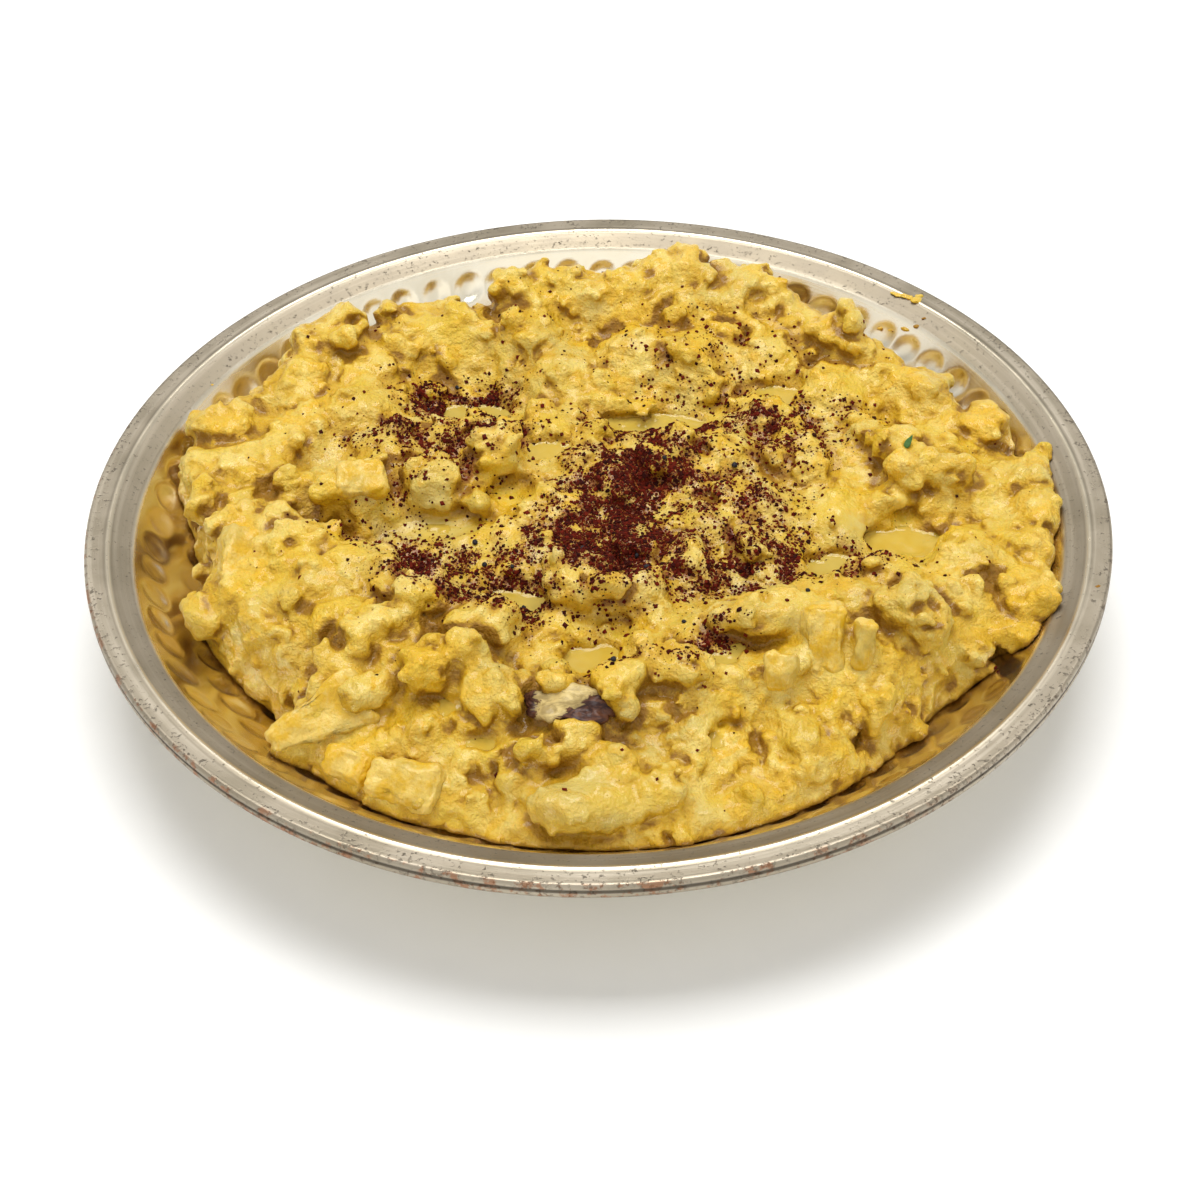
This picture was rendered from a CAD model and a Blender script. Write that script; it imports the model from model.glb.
"""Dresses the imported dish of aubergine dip: hammered metal, lumpy dip, sumac, oil and scraps.

Run as a script, it builds the whole scene. Its sidebar panel adds one group of pieces at a time.
Lengths are in millimetres unless a name or a comment says otherwise, and MM turns them into
metres. Heights called "over the rim" are measured from the top of the dish's rim.
"""

import math

import bmesh
import bpy
import numpy as np
from bpy.props import FloatProperty, IntProperty, PointerProperty
from bpy.types import Operator, Panel, PropertyGroup
from mathutils import Euler, Matrix, Vector, noise
from mathutils.bvhtree import BVHTree


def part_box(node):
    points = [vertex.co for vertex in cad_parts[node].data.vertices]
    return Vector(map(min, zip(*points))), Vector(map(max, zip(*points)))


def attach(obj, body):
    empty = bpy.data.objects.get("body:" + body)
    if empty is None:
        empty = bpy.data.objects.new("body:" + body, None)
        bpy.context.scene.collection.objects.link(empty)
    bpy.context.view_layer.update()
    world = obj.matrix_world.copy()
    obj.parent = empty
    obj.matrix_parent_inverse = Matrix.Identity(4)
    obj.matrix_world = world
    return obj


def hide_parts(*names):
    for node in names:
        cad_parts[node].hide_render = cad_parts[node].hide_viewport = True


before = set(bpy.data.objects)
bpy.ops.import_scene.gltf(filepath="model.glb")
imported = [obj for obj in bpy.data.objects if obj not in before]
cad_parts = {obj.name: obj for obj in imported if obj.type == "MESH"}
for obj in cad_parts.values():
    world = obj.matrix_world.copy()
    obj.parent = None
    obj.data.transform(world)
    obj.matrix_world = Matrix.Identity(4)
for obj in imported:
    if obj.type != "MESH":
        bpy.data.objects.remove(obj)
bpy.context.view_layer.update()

bl_info = {
    "name": "Dish of aubergine dip",
    "version": (1, 0, 0),
    "blender": (4, 5, 0),
    "location": "3D View > Sidebar > Dip",
    "description": "Builds a hammered dish of chunky aubergine dip with sumac and oil",
    "category": "Add Mesh",
}

MM = 0.001
DISH_LOW, DISH_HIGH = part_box("dish")
RIM = DISH_HIGH[0] / MM                    # outside radius of the rim
TOP = DISH_HIGH[2] / MM                    # height of the rim's top over the floor
CHUNK_NODES = sorted(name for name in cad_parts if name.startswith("chunk_"))

# The dish's section, as shares of the rim's radius or height where the CAD gives no box for it.
SHEET = 1.2                                # thickness of the metal
FOOT_RADIUS = 0.52 * RIM                   # where the flat middle ends
WALL_RADIUS = 0.91 * RIM                   # where the wall meets the rim
WALL_TOP = TOP - 2.3                       # height of that meeting line
RIDGE_RADIUS = 0.955 * RIM                 # fine ridge along the middle of the rim
LIP_HEIGHT = 3.2
LIP_WIDTH = 2.2


# Settings -------------------------------------------------------------------------------------


class DishSettings(PropertyGroup):
    """Sizes of the dish's fine surface"""

    segments: IntProperty(name="Segments", description="Steps round the dish", default=700, min=72)
    mark_pitch: FloatProperty(
        name="Mark pitch (mm)", description="Distance between hammer marks", default=7.5, min=2.0)
    mark_depth: FloatProperty(
        name="Mark depth (mm)", description="Depth of a hammer mark", default=0.55, min=0.0)
    seed: IntProperty(name="Seed", description="Seed of the marks' unevenness", default=4)


class DipSettings(PropertyGroup):
    """Sizes of the dip's lumps"""

    cell: FloatProperty(
        name="Cell (mm)", description="Finest step of the dip's surface", default=0.56, min=0.4)
    chunks: IntProperty(name="Chunks", description="Number of blocky chunks", default=170, min=0)
    lumps: IntProperty(name="Lumps", description="Number of soft lumps", default=4800, min=0)
    shreds: IntProperty(name="Shreds", description="Number of thin shreds", default=260, min=0)
    grains: IntProperty(name="Grains", description="Number of small grains", default=4200, min=0)
    pits: IntProperty(name="Pits", description="Number of pits and creases", default=170, min=0)
    triangles: IntProperty(
        name="Triangles", description="Most triangles in the dip", default=188000, min=10000)
    seed: IntProperty(name="Seed", description="Seed of the lumps", default=11)


class ScatterSettings(PropertyGroup):
    """Amounts of what is scattered on the dip"""

    flakes: FloatProperty(
        name="Sumac per mm2", description="Sumac flakes per square millimetre where it is densest",
        default=2.35, min=0.0)
    dust: FloatProperty(
        name="Dust per mm2", description="Fine sumac per square millimetre where it is densest",
        default=3.4, min=0.0)
    flake_size: FloatProperty(
        name="Flake size (mm)", description="Width of a large sumac flake", default=1.2, min=0.1)
    pepper_size: FloatProperty(
        name="Pepper size (mm)", description="Width of a pepper bit", default=1.3, min=0.1)
    seed: IntProperty(name="Seed", description="Seed of the scatter", default=7)


class StageSettings(PropertyGroup):
    """Strength of the studio's lights"""

    key: FloatProperty(name="Key (W)", description="Power of the overhead softbox", default=15.0)
    front: FloatProperty(name="Front (W)", description="Power of the front softbox", default=0.7)
    surround: FloatProperty(name="Surround", description="Strength of the pale room", default=0.9)


# Small helpers --------------------------------------------------------------------------------


def mesh_object(name, verts, faces):
    """A smooth-shaded mesh object from points in millimetres."""
    mesh = bpy.data.meshes.new(name)
    verts = np.asarray(verts, np.float32) * MM
    mesh.from_pydata(verts.tolist(), [], np.asarray(faces).tolist())
    mesh.validate()
    mesh.shade_smooth()
    obj = bpy.data.objects.new(name, mesh)
    bpy.context.scene.collection.objects.link(obj)
    return obj


def apply_modifiers(obj):
    """Replace the object's mesh with its evaluated one."""
    depsgraph = bpy.context.evaluated_depsgraph_get()
    mesh = bpy.data.meshes.new_from_object(obj.evaluated_get(depsgraph), depsgraph=depsgraph)
    obj.modifiers.clear()
    obj.data = mesh


def add_attribute(obj, name, values):
    """Store one number per vertex for the materials to read."""
    layer = obj.data.attributes.new(name, "FLOAT", "POINT")
    layer.data.foreach_set("value", np.asarray(values, np.float32))


def vertex_points(obj):
    """The object's vertices in millimetres."""
    points = np.zeros(len(obj.data.vertices) * 3, np.float32)
    obj.data.vertices.foreach_get("co", points)
    return points.reshape(-1, 3) / MM


def set_vertex_points(obj, points):
    """Move the object's vertices to points in millimetres."""
    obj.data.vertices.foreach_set("co", (points * MM).astype(np.float32).ravel())
    obj.data.update()


def finish_piece(obj, material, slot, *nodes):
    """Give a piece its material and body, and let it stand for the CAD nodes it replaces."""
    obj.data.materials.clear()
    obj.data.materials.append(material)
    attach(obj, "root")
    for node in nodes:
        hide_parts(node)


def remove_piece(name):
    """Clear an earlier copy of a piece, so that its operator can run again."""
    old = bpy.data.objects.get(name)
    if old:
        bpy.data.objects.remove(old, do_unlink=True)


# Materials ------------------------------------------------------------------------------------


class Nodes:
    """Builds one material's node tree with short calls."""

    def __init__(self, name):
        self.material = bpy.data.materials.new(name)
        self.material.use_nodes = True
        self.tree = self.material.node_tree
        self.shader = self.tree.nodes["Principled BSDF"]

    def link(self, value, socket):
        """Set a socket to a number or colour, or join it to another socket."""
        if isinstance(value, bpy.types.NodeSocket):
            self.tree.links.new(value, socket)
        elif value is not None:
            socket.default_value = value

    def set(self, **values):
        """Set the shader's sockets by name, with underscores for spaces."""
        for name, value in values.items():
            self.link(value, self.shader.inputs[name.replace("_", " ")])

    def position(self):
        """Object coordinates in metres."""
        return self.tree.nodes.new("ShaderNodeTexCoord").outputs["Object"]

    def attribute(self, name):
        """One number stored on the mesh."""
        node = self.tree.nodes.new("ShaderNodeAttribute")
        node.attribute_name = name
        return node.outputs["Fac"]

    def math(self, operation, a, b=None, clamp=False):
        """A math node."""
        node = self.tree.nodes.new("ShaderNodeMath")
        node.operation = operation
        node.use_clamp = clamp
        self.link(a, node.inputs[0])
        self.link(b, node.inputs[1])
        return node.outputs[0]

    def ramp(self, value, low, high, start=0.0, end=1.0):
        """Map low..high smoothly to start..end."""
        node = self.tree.nodes.new("ShaderNodeMapRange")
        node.interpolation_type = "SMOOTHSTEP"
        self.link(value, node.inputs["Value"])
        for name, number in zip(("From Min", "From Max", "To Min", "To Max"), (low, high, start, end)):
            node.inputs[name].default_value = number
        return node.outputs["Result"]

    def noise(self, vector, width, detail=2.0, roughness=0.5, distortion=0.0):
        """Noise whose features are about width millimetres wide."""
        node = self.tree.nodes.new("ShaderNodeTexNoise")
        self.link(vector, node.inputs["Vector"])
        node.inputs["Scale"].default_value = 1.0 / (width * MM)
        node.inputs["Detail"].default_value = detail
        node.inputs["Roughness"].default_value = roughness
        node.inputs["Distortion"].default_value = distortion
        return node.outputs["Fac"]

    def curds(self, vector, width):
        """Soft round bumps about width millimetres wide: 1 at their middles, 0 between them."""
        node = self.tree.nodes.new("ShaderNodeTexVoronoi")
        node.feature = "SMOOTH_F1"
        self.link(vector, node.inputs["Vector"])
        node.inputs["Scale"].default_value = 1.0 / (width * MM)
        node.inputs["Smoothness"].default_value = 0.35
        return self.math("SUBTRACT", 1.0, node.outputs["Distance"])

    def mix(self, share, a, b, mode="MIX"):
        """Mix two colours."""
        node = self.tree.nodes.new("ShaderNodeMix")
        node.data_type = "RGBA"
        node.blend_type = mode
        self.link(share, node.inputs["Factor"])
        for socket, value in ((node.inputs[6], a), (node.inputs[7], b)):
            self.link((*value, 1.0) if isinstance(value, tuple) else value, socket)
        return node.outputs[2]

    def bump(self, height, distance, strength=1.0, normal=None):
        """Bump of the given distance in millimetres."""
        node = self.tree.nodes.new("ShaderNodeBump")
        node.inputs["Strength"].default_value = strength
        node.inputs["Distance"].default_value = distance * MM
        self.link(height, node.inputs["Height"])
        self.link(normal, node.inputs["Normal"])
        return node.outputs["Normal"]

    def combine(self, x, y, z):
        """A vector from three numbers."""
        node = self.tree.nodes.new("ShaderNodeCombineXYZ")
        for value, socket in zip((x, y, z), node.inputs):
            self.link(value, socket)
        return node.outputs[0]

    def separate(self, vector):
        """The three numbers of a vector."""
        node = self.tree.nodes.new("ShaderNodeSeparateXYZ")
        self.link(vector, node.inputs[0])
        return node.outputs


def metal_material():
    """Old tinned copper: turning lines, dark pits and copper showing along the lip."""
    n = Nodes("old_tin")
    place = n.position()
    x, y, z = n.separate(place)
    radius = n.math("SQRT", n.math("ADD", n.math("MULTIPLY", x, x), n.math("MULTIPLY", y, y)))
    turned = n.combine(radius, n.math("MULTIPLY", x, 0.02), n.math("MULTIPLY", y, 0.02))
    lines = n.noise(turned, 0.32, detail=3.0, roughness=0.65)
    broad_lines = n.noise(turned, 1.6, detail=2.0)
    clouds = n.noise(place, 14.0, detail=5.0, roughness=0.6)
    speckle = n.noise(place, 0.9, detail=3.0, roughness=0.7)
    blotch = n.noise(place, 3.2, detail=3.0, roughness=0.7)

    tin = n.mix(n.ramp(clouds, 0.3, 0.7), (0.32, 0.275, 0.20), (0.39, 0.34, 0.265))
    tin = n.mix(n.ramp(lines, 0.35, 0.75, 0.0, 0.45), tin, (0.36, 0.30, 0.22))
    tin = n.mix(n.ramp(broad_lines, 0.45, 0.7, 0.0, 0.35), tin, (0.74, 0.66, 0.53))

    flange = n.ramp(radius, 0.0905, 0.0915)
    polish = n.mix(n.ramp(clouds, 0.3, 0.7), (0.88, 0.79, 0.60), (0.93, 0.87, 0.72))
    tin = n.mix(flange, polish, tin)
    band = n.math("MULTIPLY", n.ramp(radius, 0.0908, 0.0916), n.ramp(radius, 0.0955, 0.0945))
    tin = n.mix(n.math("MULTIPLY", band, 0.45), tin, (0.22, 0.185, 0.13))
    edge_wear = n.ramp(radius, 0.0955, 0.0998)
    pits = n.math("ADD", n.math("MULTIPLY", edge_wear, 0.09), speckle)
    pits = n.math("MULTIPLY", n.ramp(pits, 0.60, 0.68), n.ramp(blotch, 0.38, 0.6), clamp=True)
    pits = n.math("MULTIPLY", pits, flange)
    inner_soot = n.math("MULTIPLY", n.ramp(radius, 0.0905, 0.0918), n.ramp(radius, 0.0945, 0.0925))
    soot = n.math("MULTIPLY", inner_soot, n.ramp(speckle, 0.54, 0.72, 0.0, 0.45))
    dark = n.math("MAXIMUM", n.math("MULTIPLY", pits, 0.7), soot)
    ridge = n.math("MULTIPLY", n.ramp(radius, 0.0948, 0.0954), n.ramp(radius, 0.0962, 0.0956))
    tin = n.mix(n.math("MULTIPLY", ridge, 0.8), tin, (0.84, 0.74, 0.56))
    tin = n.mix(dark, tin, (0.085, 0.072, 0.055))

    copper = n.math("MULTIPLY", n.ramp(radius, 0.0991, 0.0998), n.ramp(blotch, 0.50, 0.60), clamp=True)
    worn_side = n.ramp(n.math("ADD", n.math("MULTIPLY", x, 0.75), y), -0.02, -0.085, 0.12, 1.0)
    copper = n.math("MULTIPLY", n.math("MULTIPLY", copper, worn_side), n.ramp(z, 0.0215, 0.0245))
    tin = n.mix(n.math("MULTIPLY", copper, 0.75), tin, (0.33, 0.15, 0.075))
    groove = n.math("MULTIPLY", n.ramp(z, 0.0262, 0.0257), n.ramp(z, 0.0249, 0.0253))
    groove = n.math("MULTIPLY", groove, n.ramp(radius, 0.0985, 0.0992))
    tin = n.mix(n.math("MULTIPLY", groove, 0.75), tin, (0.05, 0.04, 0.03))

    rough = n.math("ADD", n.ramp(radius, 0.0900, 0.0915, 0.17, 0.38), n.ramp(clouds, 0.3, 0.7, 0.0, 0.10))
    rough = n.math("ADD", rough, n.math("MULTIPLY", dark, 0.30), clamp=True)
    rough = n.math("ADD", rough, n.math("MULTIPLY", band, 0.10))
    rough = n.math("SUBTRACT", rough, n.math("MULTIPLY", ridge, 0.12))
    relief = n.math("ADD", n.math("MULTIPLY", lines, 0.5), n.math("MULTIPLY", dark, -1.2))
    relief = n.math("MULTIPLY", relief, n.ramp(radius, 0.0885, 0.0915, 0.25, 1.0))
    n.set(Base_Color=tin, Metallic=1.0, Roughness=rough, Normal=n.bump(relief, 0.05))
    return n.material


def dip_material():
    """Creamy dip: pale bumps, yellow flesh, greyish watery patches, brown crevices, red stain."""
    n = Nodes("aubergine_dip")
    place = n.position()
    patches = n.noise(place, 9.0, detail=4.0, roughness=0.6)
    small = n.noise(place, 2.2, detail=3.0, roughness=0.6)
    fine = n.noise(place, 0.55, detail=3.0, roughness=0.6)
    shreds = n.noise(place, 6.0, detail=2.0, roughness=0.5, distortion=1.2)
    wet = n.attribute("wet")
    hollow = n.math("ADD", n.attribute("hollow"), n.ramp(small, 0.3, 0.7, 0.1, -0.1), clamp=True)
    hollow = n.math("MULTIPLY", hollow, n.math("SUBTRACT", 1.0, wet))
    cream = n.mix(n.ramp(patches, 0.35, 0.68), (0.67, 0.45, 0.034), (0.75, 0.58, 0.155))
    flesh = n.math("ADD", n.attribute("flesh"), n.ramp(shreds, 0.57, 0.66, 0.0, 0.8), clamp=True)
    flesh = n.math("ADD", flesh, n.ramp(small, 0.35, 0.75, -0.2, 0.2), clamp=True)
    colour = n.mix(n.math("MULTIPLY", flesh, 0.85), cream, (0.70, 0.405, 0.008))
    watery = n.math("MULTIPLY", n.attribute("watery"), n.ramp(patches, 0.3, 0.6, 0.6, 1.0))
    colour = n.mix(n.math("MULTIPLY", watery, 0.6), colour, (0.44, 0.345, 0.10))
    colour = n.mix(n.ramp(hollow, 0.10, 0.48, 0.0, 0.80), colour, (0.57, 0.325, 0.004))
    colour = n.mix(n.ramp(hollow, 0.42, 0.90, 0.0, 0.85), colour, (0.24, 0.10, 0.001))
    stain = n.math("MULTIPLY", n.attribute("sumac"), n.ramp(fine, 0.32, 0.60), clamp=True)
    colour = n.mix(n.math("MULTIPLY", stain, 0.85), colour, (0.23, 0.040, 0.004))
    rough = n.math("MULTIPLY", n.ramp(fine, 0.3, 0.7, 0.28, 0.44), n.math("SUBTRACT", 1.0, wet))
    rough = n.math("ADD", rough, n.math("MULTIPLY", hollow, 0.25))
    rough = n.math("ADD", rough, n.math("MULTIPLY", wet, 0.08))
    relief = n.math("ADD", n.math("MULTIPLY", fine, 0.65), n.math("MULTIPLY", n.curds(place, 1.5), 0.5))
    relief = n.math("ADD", relief, n.noise(place, 1.1, detail=2.0, roughness=0.4))
    relief = n.math("MULTIPLY", relief, n.math("SUBTRACT", 1.0, n.math("MULTIPLY", wet, 0.85)))
    n.set(Base_Color=colour, Roughness=rough, Normal=n.bump(relief, 0.52, 1.0))
    n.set(Subsurface_Weight=0.2, Subsurface_Radius=(1.0, 0.6, 0.2), Subsurface_Scale=0.0008)
    n.set(Coat_Weight=0.28, Coat_Roughness=0.08, Specular_IOR_Level=0.3)
    return n.material


def flesh_material():
    """Cooked aubergine flesh: yellow, with cream smeared on it and greyer where it is soaked."""
    n = Nodes("aubergine_flesh")
    place = n.position()
    smear = n.noise(place, 5.0, detail=4.0, roughness=0.65)
    soaked = n.noise(place, 7.0, detail=2.0)
    x, y, z = n.separate(place)
    fibres = n.noise(n.combine(x, y, n.math("MULTIPLY", z, 0.3)), 1.1, detail=3.0, roughness=0.6)
    fine = n.noise(place, 0.6, detail=2.0)
    colour = n.mix(n.ramp(smear, 0.42, 0.58), (0.66, 0.40, 0.014), (0.70, 0.50, 0.11))
    colour = n.mix(n.ramp(soaked, 0.5, 0.66, 0.0, 0.6), colour, (0.50, 0.38, 0.09))
    colour = n.mix(n.ramp(fibres, 0.45, 0.8, 0.0, 0.6), colour, (0.55, 0.32, 0.010))
    relief = n.math("ADD", n.math("MULTIPLY", fibres, 0.9), n.math("MULTIPLY", fine, 0.35))
    n.set(Base_Color=colour, Roughness=n.ramp(fine, 0.3, 0.7, 0.30, 0.46))
    n.set(Subsurface_Weight=0.2, Subsurface_Radius=(1.0, 0.6, 0.2), Subsurface_Scale=0.0008)
    n.set(Coat_Weight=0.16, Coat_Roughness=0.14, Specular_IOR_Level=0.4)
    n.set(Normal=n.bump(relief, 0.45, 1.0))
    return n.material


def skin_material():
    """Charred skin: dark purple-brown edges, smeared with greyish cream in the middle."""
    n = Nodes("aubergine_skin")
    place = n.position()
    x, y, z = n.separate(place)
    along = n.combine(n.math("MULTIPLY", x, 0.35), y, n.math("MULTIPLY", z, 1.6))
    streaks = n.noise(along, 1.8, detail=4.0, roughness=0.65, distortion=0.8)
    edge = n.math("ADD", n.attribute("edge"), n.ramp(streaks, 0.3, 0.7, -0.3, 0.3), clamp=True)
    smear = n.mix(n.ramp(streaks, 0.35, 0.6), (0.36, 0.26, 0.10), (0.64, 0.49, 0.20))
    skin = n.mix(n.ramp(streaks, 0.42, 0.62), (0.030, 0.009, 0.007), (0.12, 0.045, 0.022))
    colour = n.mix(n.ramp(edge, 0.42, 0.62), smear, skin)
    n.set(Base_Color=colour, Roughness=n.ramp(streaks, 0.3, 0.7, 0.34, 0.5), Specular_IOR_Level=0.25)
    n.set(Coat_Weight=0.08, Coat_Roughness=0.15, Normal=n.bump(streaks, 0.25, 0.7))
    return n.material


def flake_material(name, dark, light, roughness):
    """Dry ground spice: each flake has its own tone."""
    n = Nodes(name)
    tone = n.attribute("tone")
    mottle = n.noise(n.position(), 0.3, detail=2.0)
    colour = n.mix(n.math("MULTIPLY", tone, n.ramp(mottle, 0.3, 0.7, 0.7, 1.1), clamp=True), dark, light)
    n.set(Base_Color=colour, Roughness=roughness, Normal=n.bump(mottle, 0.08, 0.7))
    n.set(Specular_IOR_Level=0.12)
    return n.material


def oil_material():
    """Yellow oil, slightly cloudy with juice from the dip."""
    n = Nodes("olive_oil")
    depth = n.noise(n.position(), 5.0)
    n.set(Base_Color=n.mix(n.ramp(depth, 0.3, 0.7), (0.80, 0.55, 0.07), (0.84, 0.62, 0.12)))
    n.set(Roughness=n.ramp(depth, 0.2, 0.8, 0.02, 0.05), Transmission_Weight=0.4, IOR=1.42)
    n.set(Specular_IOR_Level=0.3)
    return n.material


def herb_material():
    """A shred of green leaf."""
    n = Nodes("green_herb")
    veins = n.noise(n.position(), 0.5, detail=2.0)
    n.set(Base_Color=n.mix(veins, (0.025, 0.10, 0.02), (0.08, 0.22, 0.05)))
    n.set(Roughness=0.5, Normal=n.bump(veins, 0.1, 0.6))
    return n.material


def floor_material():
    """Pale matt paper."""
    n = Nodes("pale_floor")
    grain = n.noise(n.position(), 8.0, detail=3.0)
    n.set(Base_Color=n.mix(grain, (0.90, 0.90, 0.885), (0.92, 0.92, 0.905)), Roughness=0.7)
    n.set(Specular_IOR_Level=0.15)
    return n.material


# Dish -----------------------------------------------------------------------------------------


def wall_height(radius):
    """Height of the dish's inner surface, from the foot to the rim's inner band and beyond."""
    share = np.clip((radius - FOOT_RADIUS) / (WALL_RADIUS - FOOT_RADIUS), 0.0, 1.0)
    wall = SHEET + (WALL_TOP - SHEET) * share ** 2
    band = (TOP - 0.35 - WALL_TOP) / (RIDGE_RADIUS - WALL_RADIUS)
    return wall + band * np.clip(radius - WALL_RADIUS, 0.0, RIDGE_RADIUS - WALL_RADIUS)


def wall_slope(radius):
    """Slope of the dish's inner surface."""
    step = 0.2
    return (wall_height(radius + step) - wall_height(radius - step)) / (2.0 * step)


def arc(centre, radius, start, end, steps):
    """Points of an arc in the section, its angles in degrees."""
    angles = np.radians(np.linspace(start, end, steps))
    return [(centre[0] + radius * math.cos(a), centre[1] + radius * math.sin(a)) for a in angles]


def dish_section():
    """(radius, height, hammered share) along the inside, over the lip and back to the foot."""
    inner_wall = np.concatenate([np.linspace(2.0, 0.66 * RIM, 14), np.arange(0.666 * RIM, WALL_RADIUS - 0.8, 0.5)])
    inside = [(r, float(wall_height(r)), 1.0) for r in inner_wall]
    corner = [(WALL_RADIUS - 0.55, float(wall_height(WALL_RADIUS - 0.55)) + 0.02, 0.0),
              (WALL_RADIUS, WALL_TOP + 0.05, 0.0), (WALL_RADIUS + 0.6, WALL_TOP + 0.30, 0.0)]
    band = [(r, float(wall_height(r)), 0.0) for r in np.linspace(WALL_RADIUS + 1.2, RIDGE_RADIUS - 0.5, 6)]
    ridge = [(RIDGE_RADIUS - 0.25, TOP - 0.36, 0.0), (RIDGE_RADIUS, TOP - 0.16, 0.0),
             (RIDGE_RADIUS + 0.3, TOP - 0.12, 0.0), (RIDGE_RADIUS + 0.6, TOP - 0.27, 0.0)]
    flat = [(r, TOP - 0.27 + 0.27 * (r - RIDGE_RADIUS) / (RIM - RIDGE_RADIUS), 0.0)
            for r in np.linspace(RIDGE_RADIUS + 1.2, RIM - 1.0, 5)]
    low = TOP - LIP_HEIGHT
    edge = arc((RIM - 0.8, TOP - 0.8), 0.8, 80, 0, 6)
    groove = [(RIM - 0.02, TOP - 1.15), (RIM - 0.28, TOP - 1.35), (RIM - 0.28, TOP - 1.5),
              (RIM - 0.05, TOP - 1.7)]
    hem = arc((RIM - 0.7, low + 0.7), 0.7, 0, -90, 5) + arc((RIM - LIP_WIDTH + 0.5, low + 0.5), 0.5, -90, -180, 4)
    lip = [(r, z, 0.0) for r, z in edge + groove + hem]
    under_edge = [(RIM - LIP_WIDTH, TOP - SHEET, 0.0), (RIDGE_RADIUS, TOP - 0.3 - SHEET, 0.0),
                  (WALL_RADIUS + 1.6, float(wall_height(WALL_RADIUS + 1.6)) - SHEET * 1.05, 0.0)]
    outer_wall = np.concatenate([np.arange(WALL_RADIUS, 0.64 * RIM, -1.3), np.linspace(0.62 * RIM, FOOT_RADIUS, 6)])
    outside = []
    for r in outer_wall:
        steepness = math.hypot(1.0, float(wall_slope(r)))
        outside.append((r, max(0.0, float(wall_height(r)) - SHEET * steepness), 0.55))
    foot = [(FOOT_RADIUS - 0.8, 0.0, 0.0), (2.0, 0.0, 0.0)]
    return np.array(inside + corner + band + ridge + flat + lip + under_edge + outside + foot)


def hammer_marks(settings):
    """(azimuth, radius, half width, half height, depth) of each mark, row by row."""
    rng = np.random.default_rng(settings.seed)
    marks = []
    for row in range(5):
        radius = WALL_RADIUS - 3.7 - 7.1 * row
        count = int(round(2.0 * math.pi * radius / settings.mark_pitch))
        height = 3.2 / math.hypot(1.0, float(wall_slope(radius)))
        for i in range(count):
            azimuth = 2.0 * math.pi * (i + 0.5 * (row % 2) + rng.normal(0.0, 0.05)) / count
            marks.append((azimuth, radius + rng.normal(0.0, 0.15), 3.2 * rng.normal(1.0, 0.05),
                          height * rng.normal(1.0, 0.06), settings.mark_depth * rng.normal(1.0, 0.12)))
    return np.array(marks)


def mark_depths(azimuths, radii, marks):
    """Depth of the hammering on a grid of azimuths by radii: marks meet in sharp edges."""
    depths = np.zeros((len(azimuths), len(radii)))
    for azimuth, radius, half_width, half_height, depth in marks:
        turn = (azimuths - azimuth + math.pi) % (2.0 * math.pi) - math.pi
        near = np.where(np.abs(turn) * radius < half_width)[0]
        close = np.where(np.abs(radii - radius) < half_height)[0]
        if len(close) == 0:
            continue
        across = turn[near][:, None] * radius / half_width
        along = (radii[close][None, :] - radius) / half_height
        slant = across + 0.2 * along
        cap = depth * np.clip(1.0 - (slant ** 2 + along ** 2) ** 1.6, 0.0, None)
        patch = np.ix_(near, close)
        depths[patch] = np.maximum(depths[patch], cap)
    return depths


def build_dish(settings):
    """Turn the section, press the marks in and let the old rim wave a little."""
    remove_piece("hammered_dish")
    section = dish_section()
    azimuths = np.linspace(0.0, 2.0 * math.pi, settings.segments, endpoint=False)
    marks = hammer_marks(settings)
    depths = mark_depths(azimuths, section[:, 0], marks) * section[:, 2]
    slope = wall_slope(np.minimum(section[:, 0], WALL_RADIUS))
    length = np.hypot(1.0, slope)
    radii = section[:, 0] + depths * slope / length
    heights = section[:, 1] - depths / length
    on_rim = np.clip((section[:, 0] - WALL_RADIUS) / (RIM - WALL_RADIUS), 0.0, 1.0)
    wave = np.array([noise.noise(Vector((2.5 * math.cos(a), 2.5 * math.sin(a), 3.0))) for a in azimuths])
    heights = np.clip(heights - 0.14 * (wave[:, None] + 0.55) * on_rim[None, :], 0.0, TOP)
    heights[:, section[:, 1] == 0.0] = 0.0
    points = np.stack([radii * np.cos(azimuths)[:, None], radii * np.sin(azimuths)[:, None], heights], axis=2)
    rings, count = points.shape[1], points.shape[0]
    verts = points.reshape(-1, 3)
    here = np.arange(count)[:, None] * rings + np.arange(rings - 1)[None, :]
    beside = (np.arange(count)[:, None] + 1) % count * rings + np.arange(rings - 1)[None, :]
    quads = np.stack([here, here + 1, beside + 1, beside], axis=2).reshape(-1, 4)
    obj = mesh_object("hammered_dish", verts, quads[:, ::-1])
    close_poles(obj, [(0.0, 0.0, SHEET), (0.0, 0.0, 0.0)])
    finish_piece(obj, metal_material(), "metal", "dish")
    return obj


def close_poles(obj, poles):
    """Close each open ring at the axis with a fan to its pole, and turn every face outwards."""
    bm = bmesh.new()
    bm.from_mesh(obj.data)
    for pole in poles:
        centre = Vector(pole) * MM
        open_edges = [e for e in bm.edges if e.is_boundary
                      and abs(e.verts[0].co.z - centre.z) < 0.3 * MM]
        tip = bm.verts.new(centre)
        for edge in open_edges:
            bm.faces.new((edge.verts[0], edge.verts[1], tip))
    bmesh.ops.recalc_face_normals(bm, faces=bm.faces)
    for face in bm.faces:
        face.smooth = True
    bm.to_mesh(obj.data)
    bm.free()


# Dip: a field of distances --------------------------------------------------------------------


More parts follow.
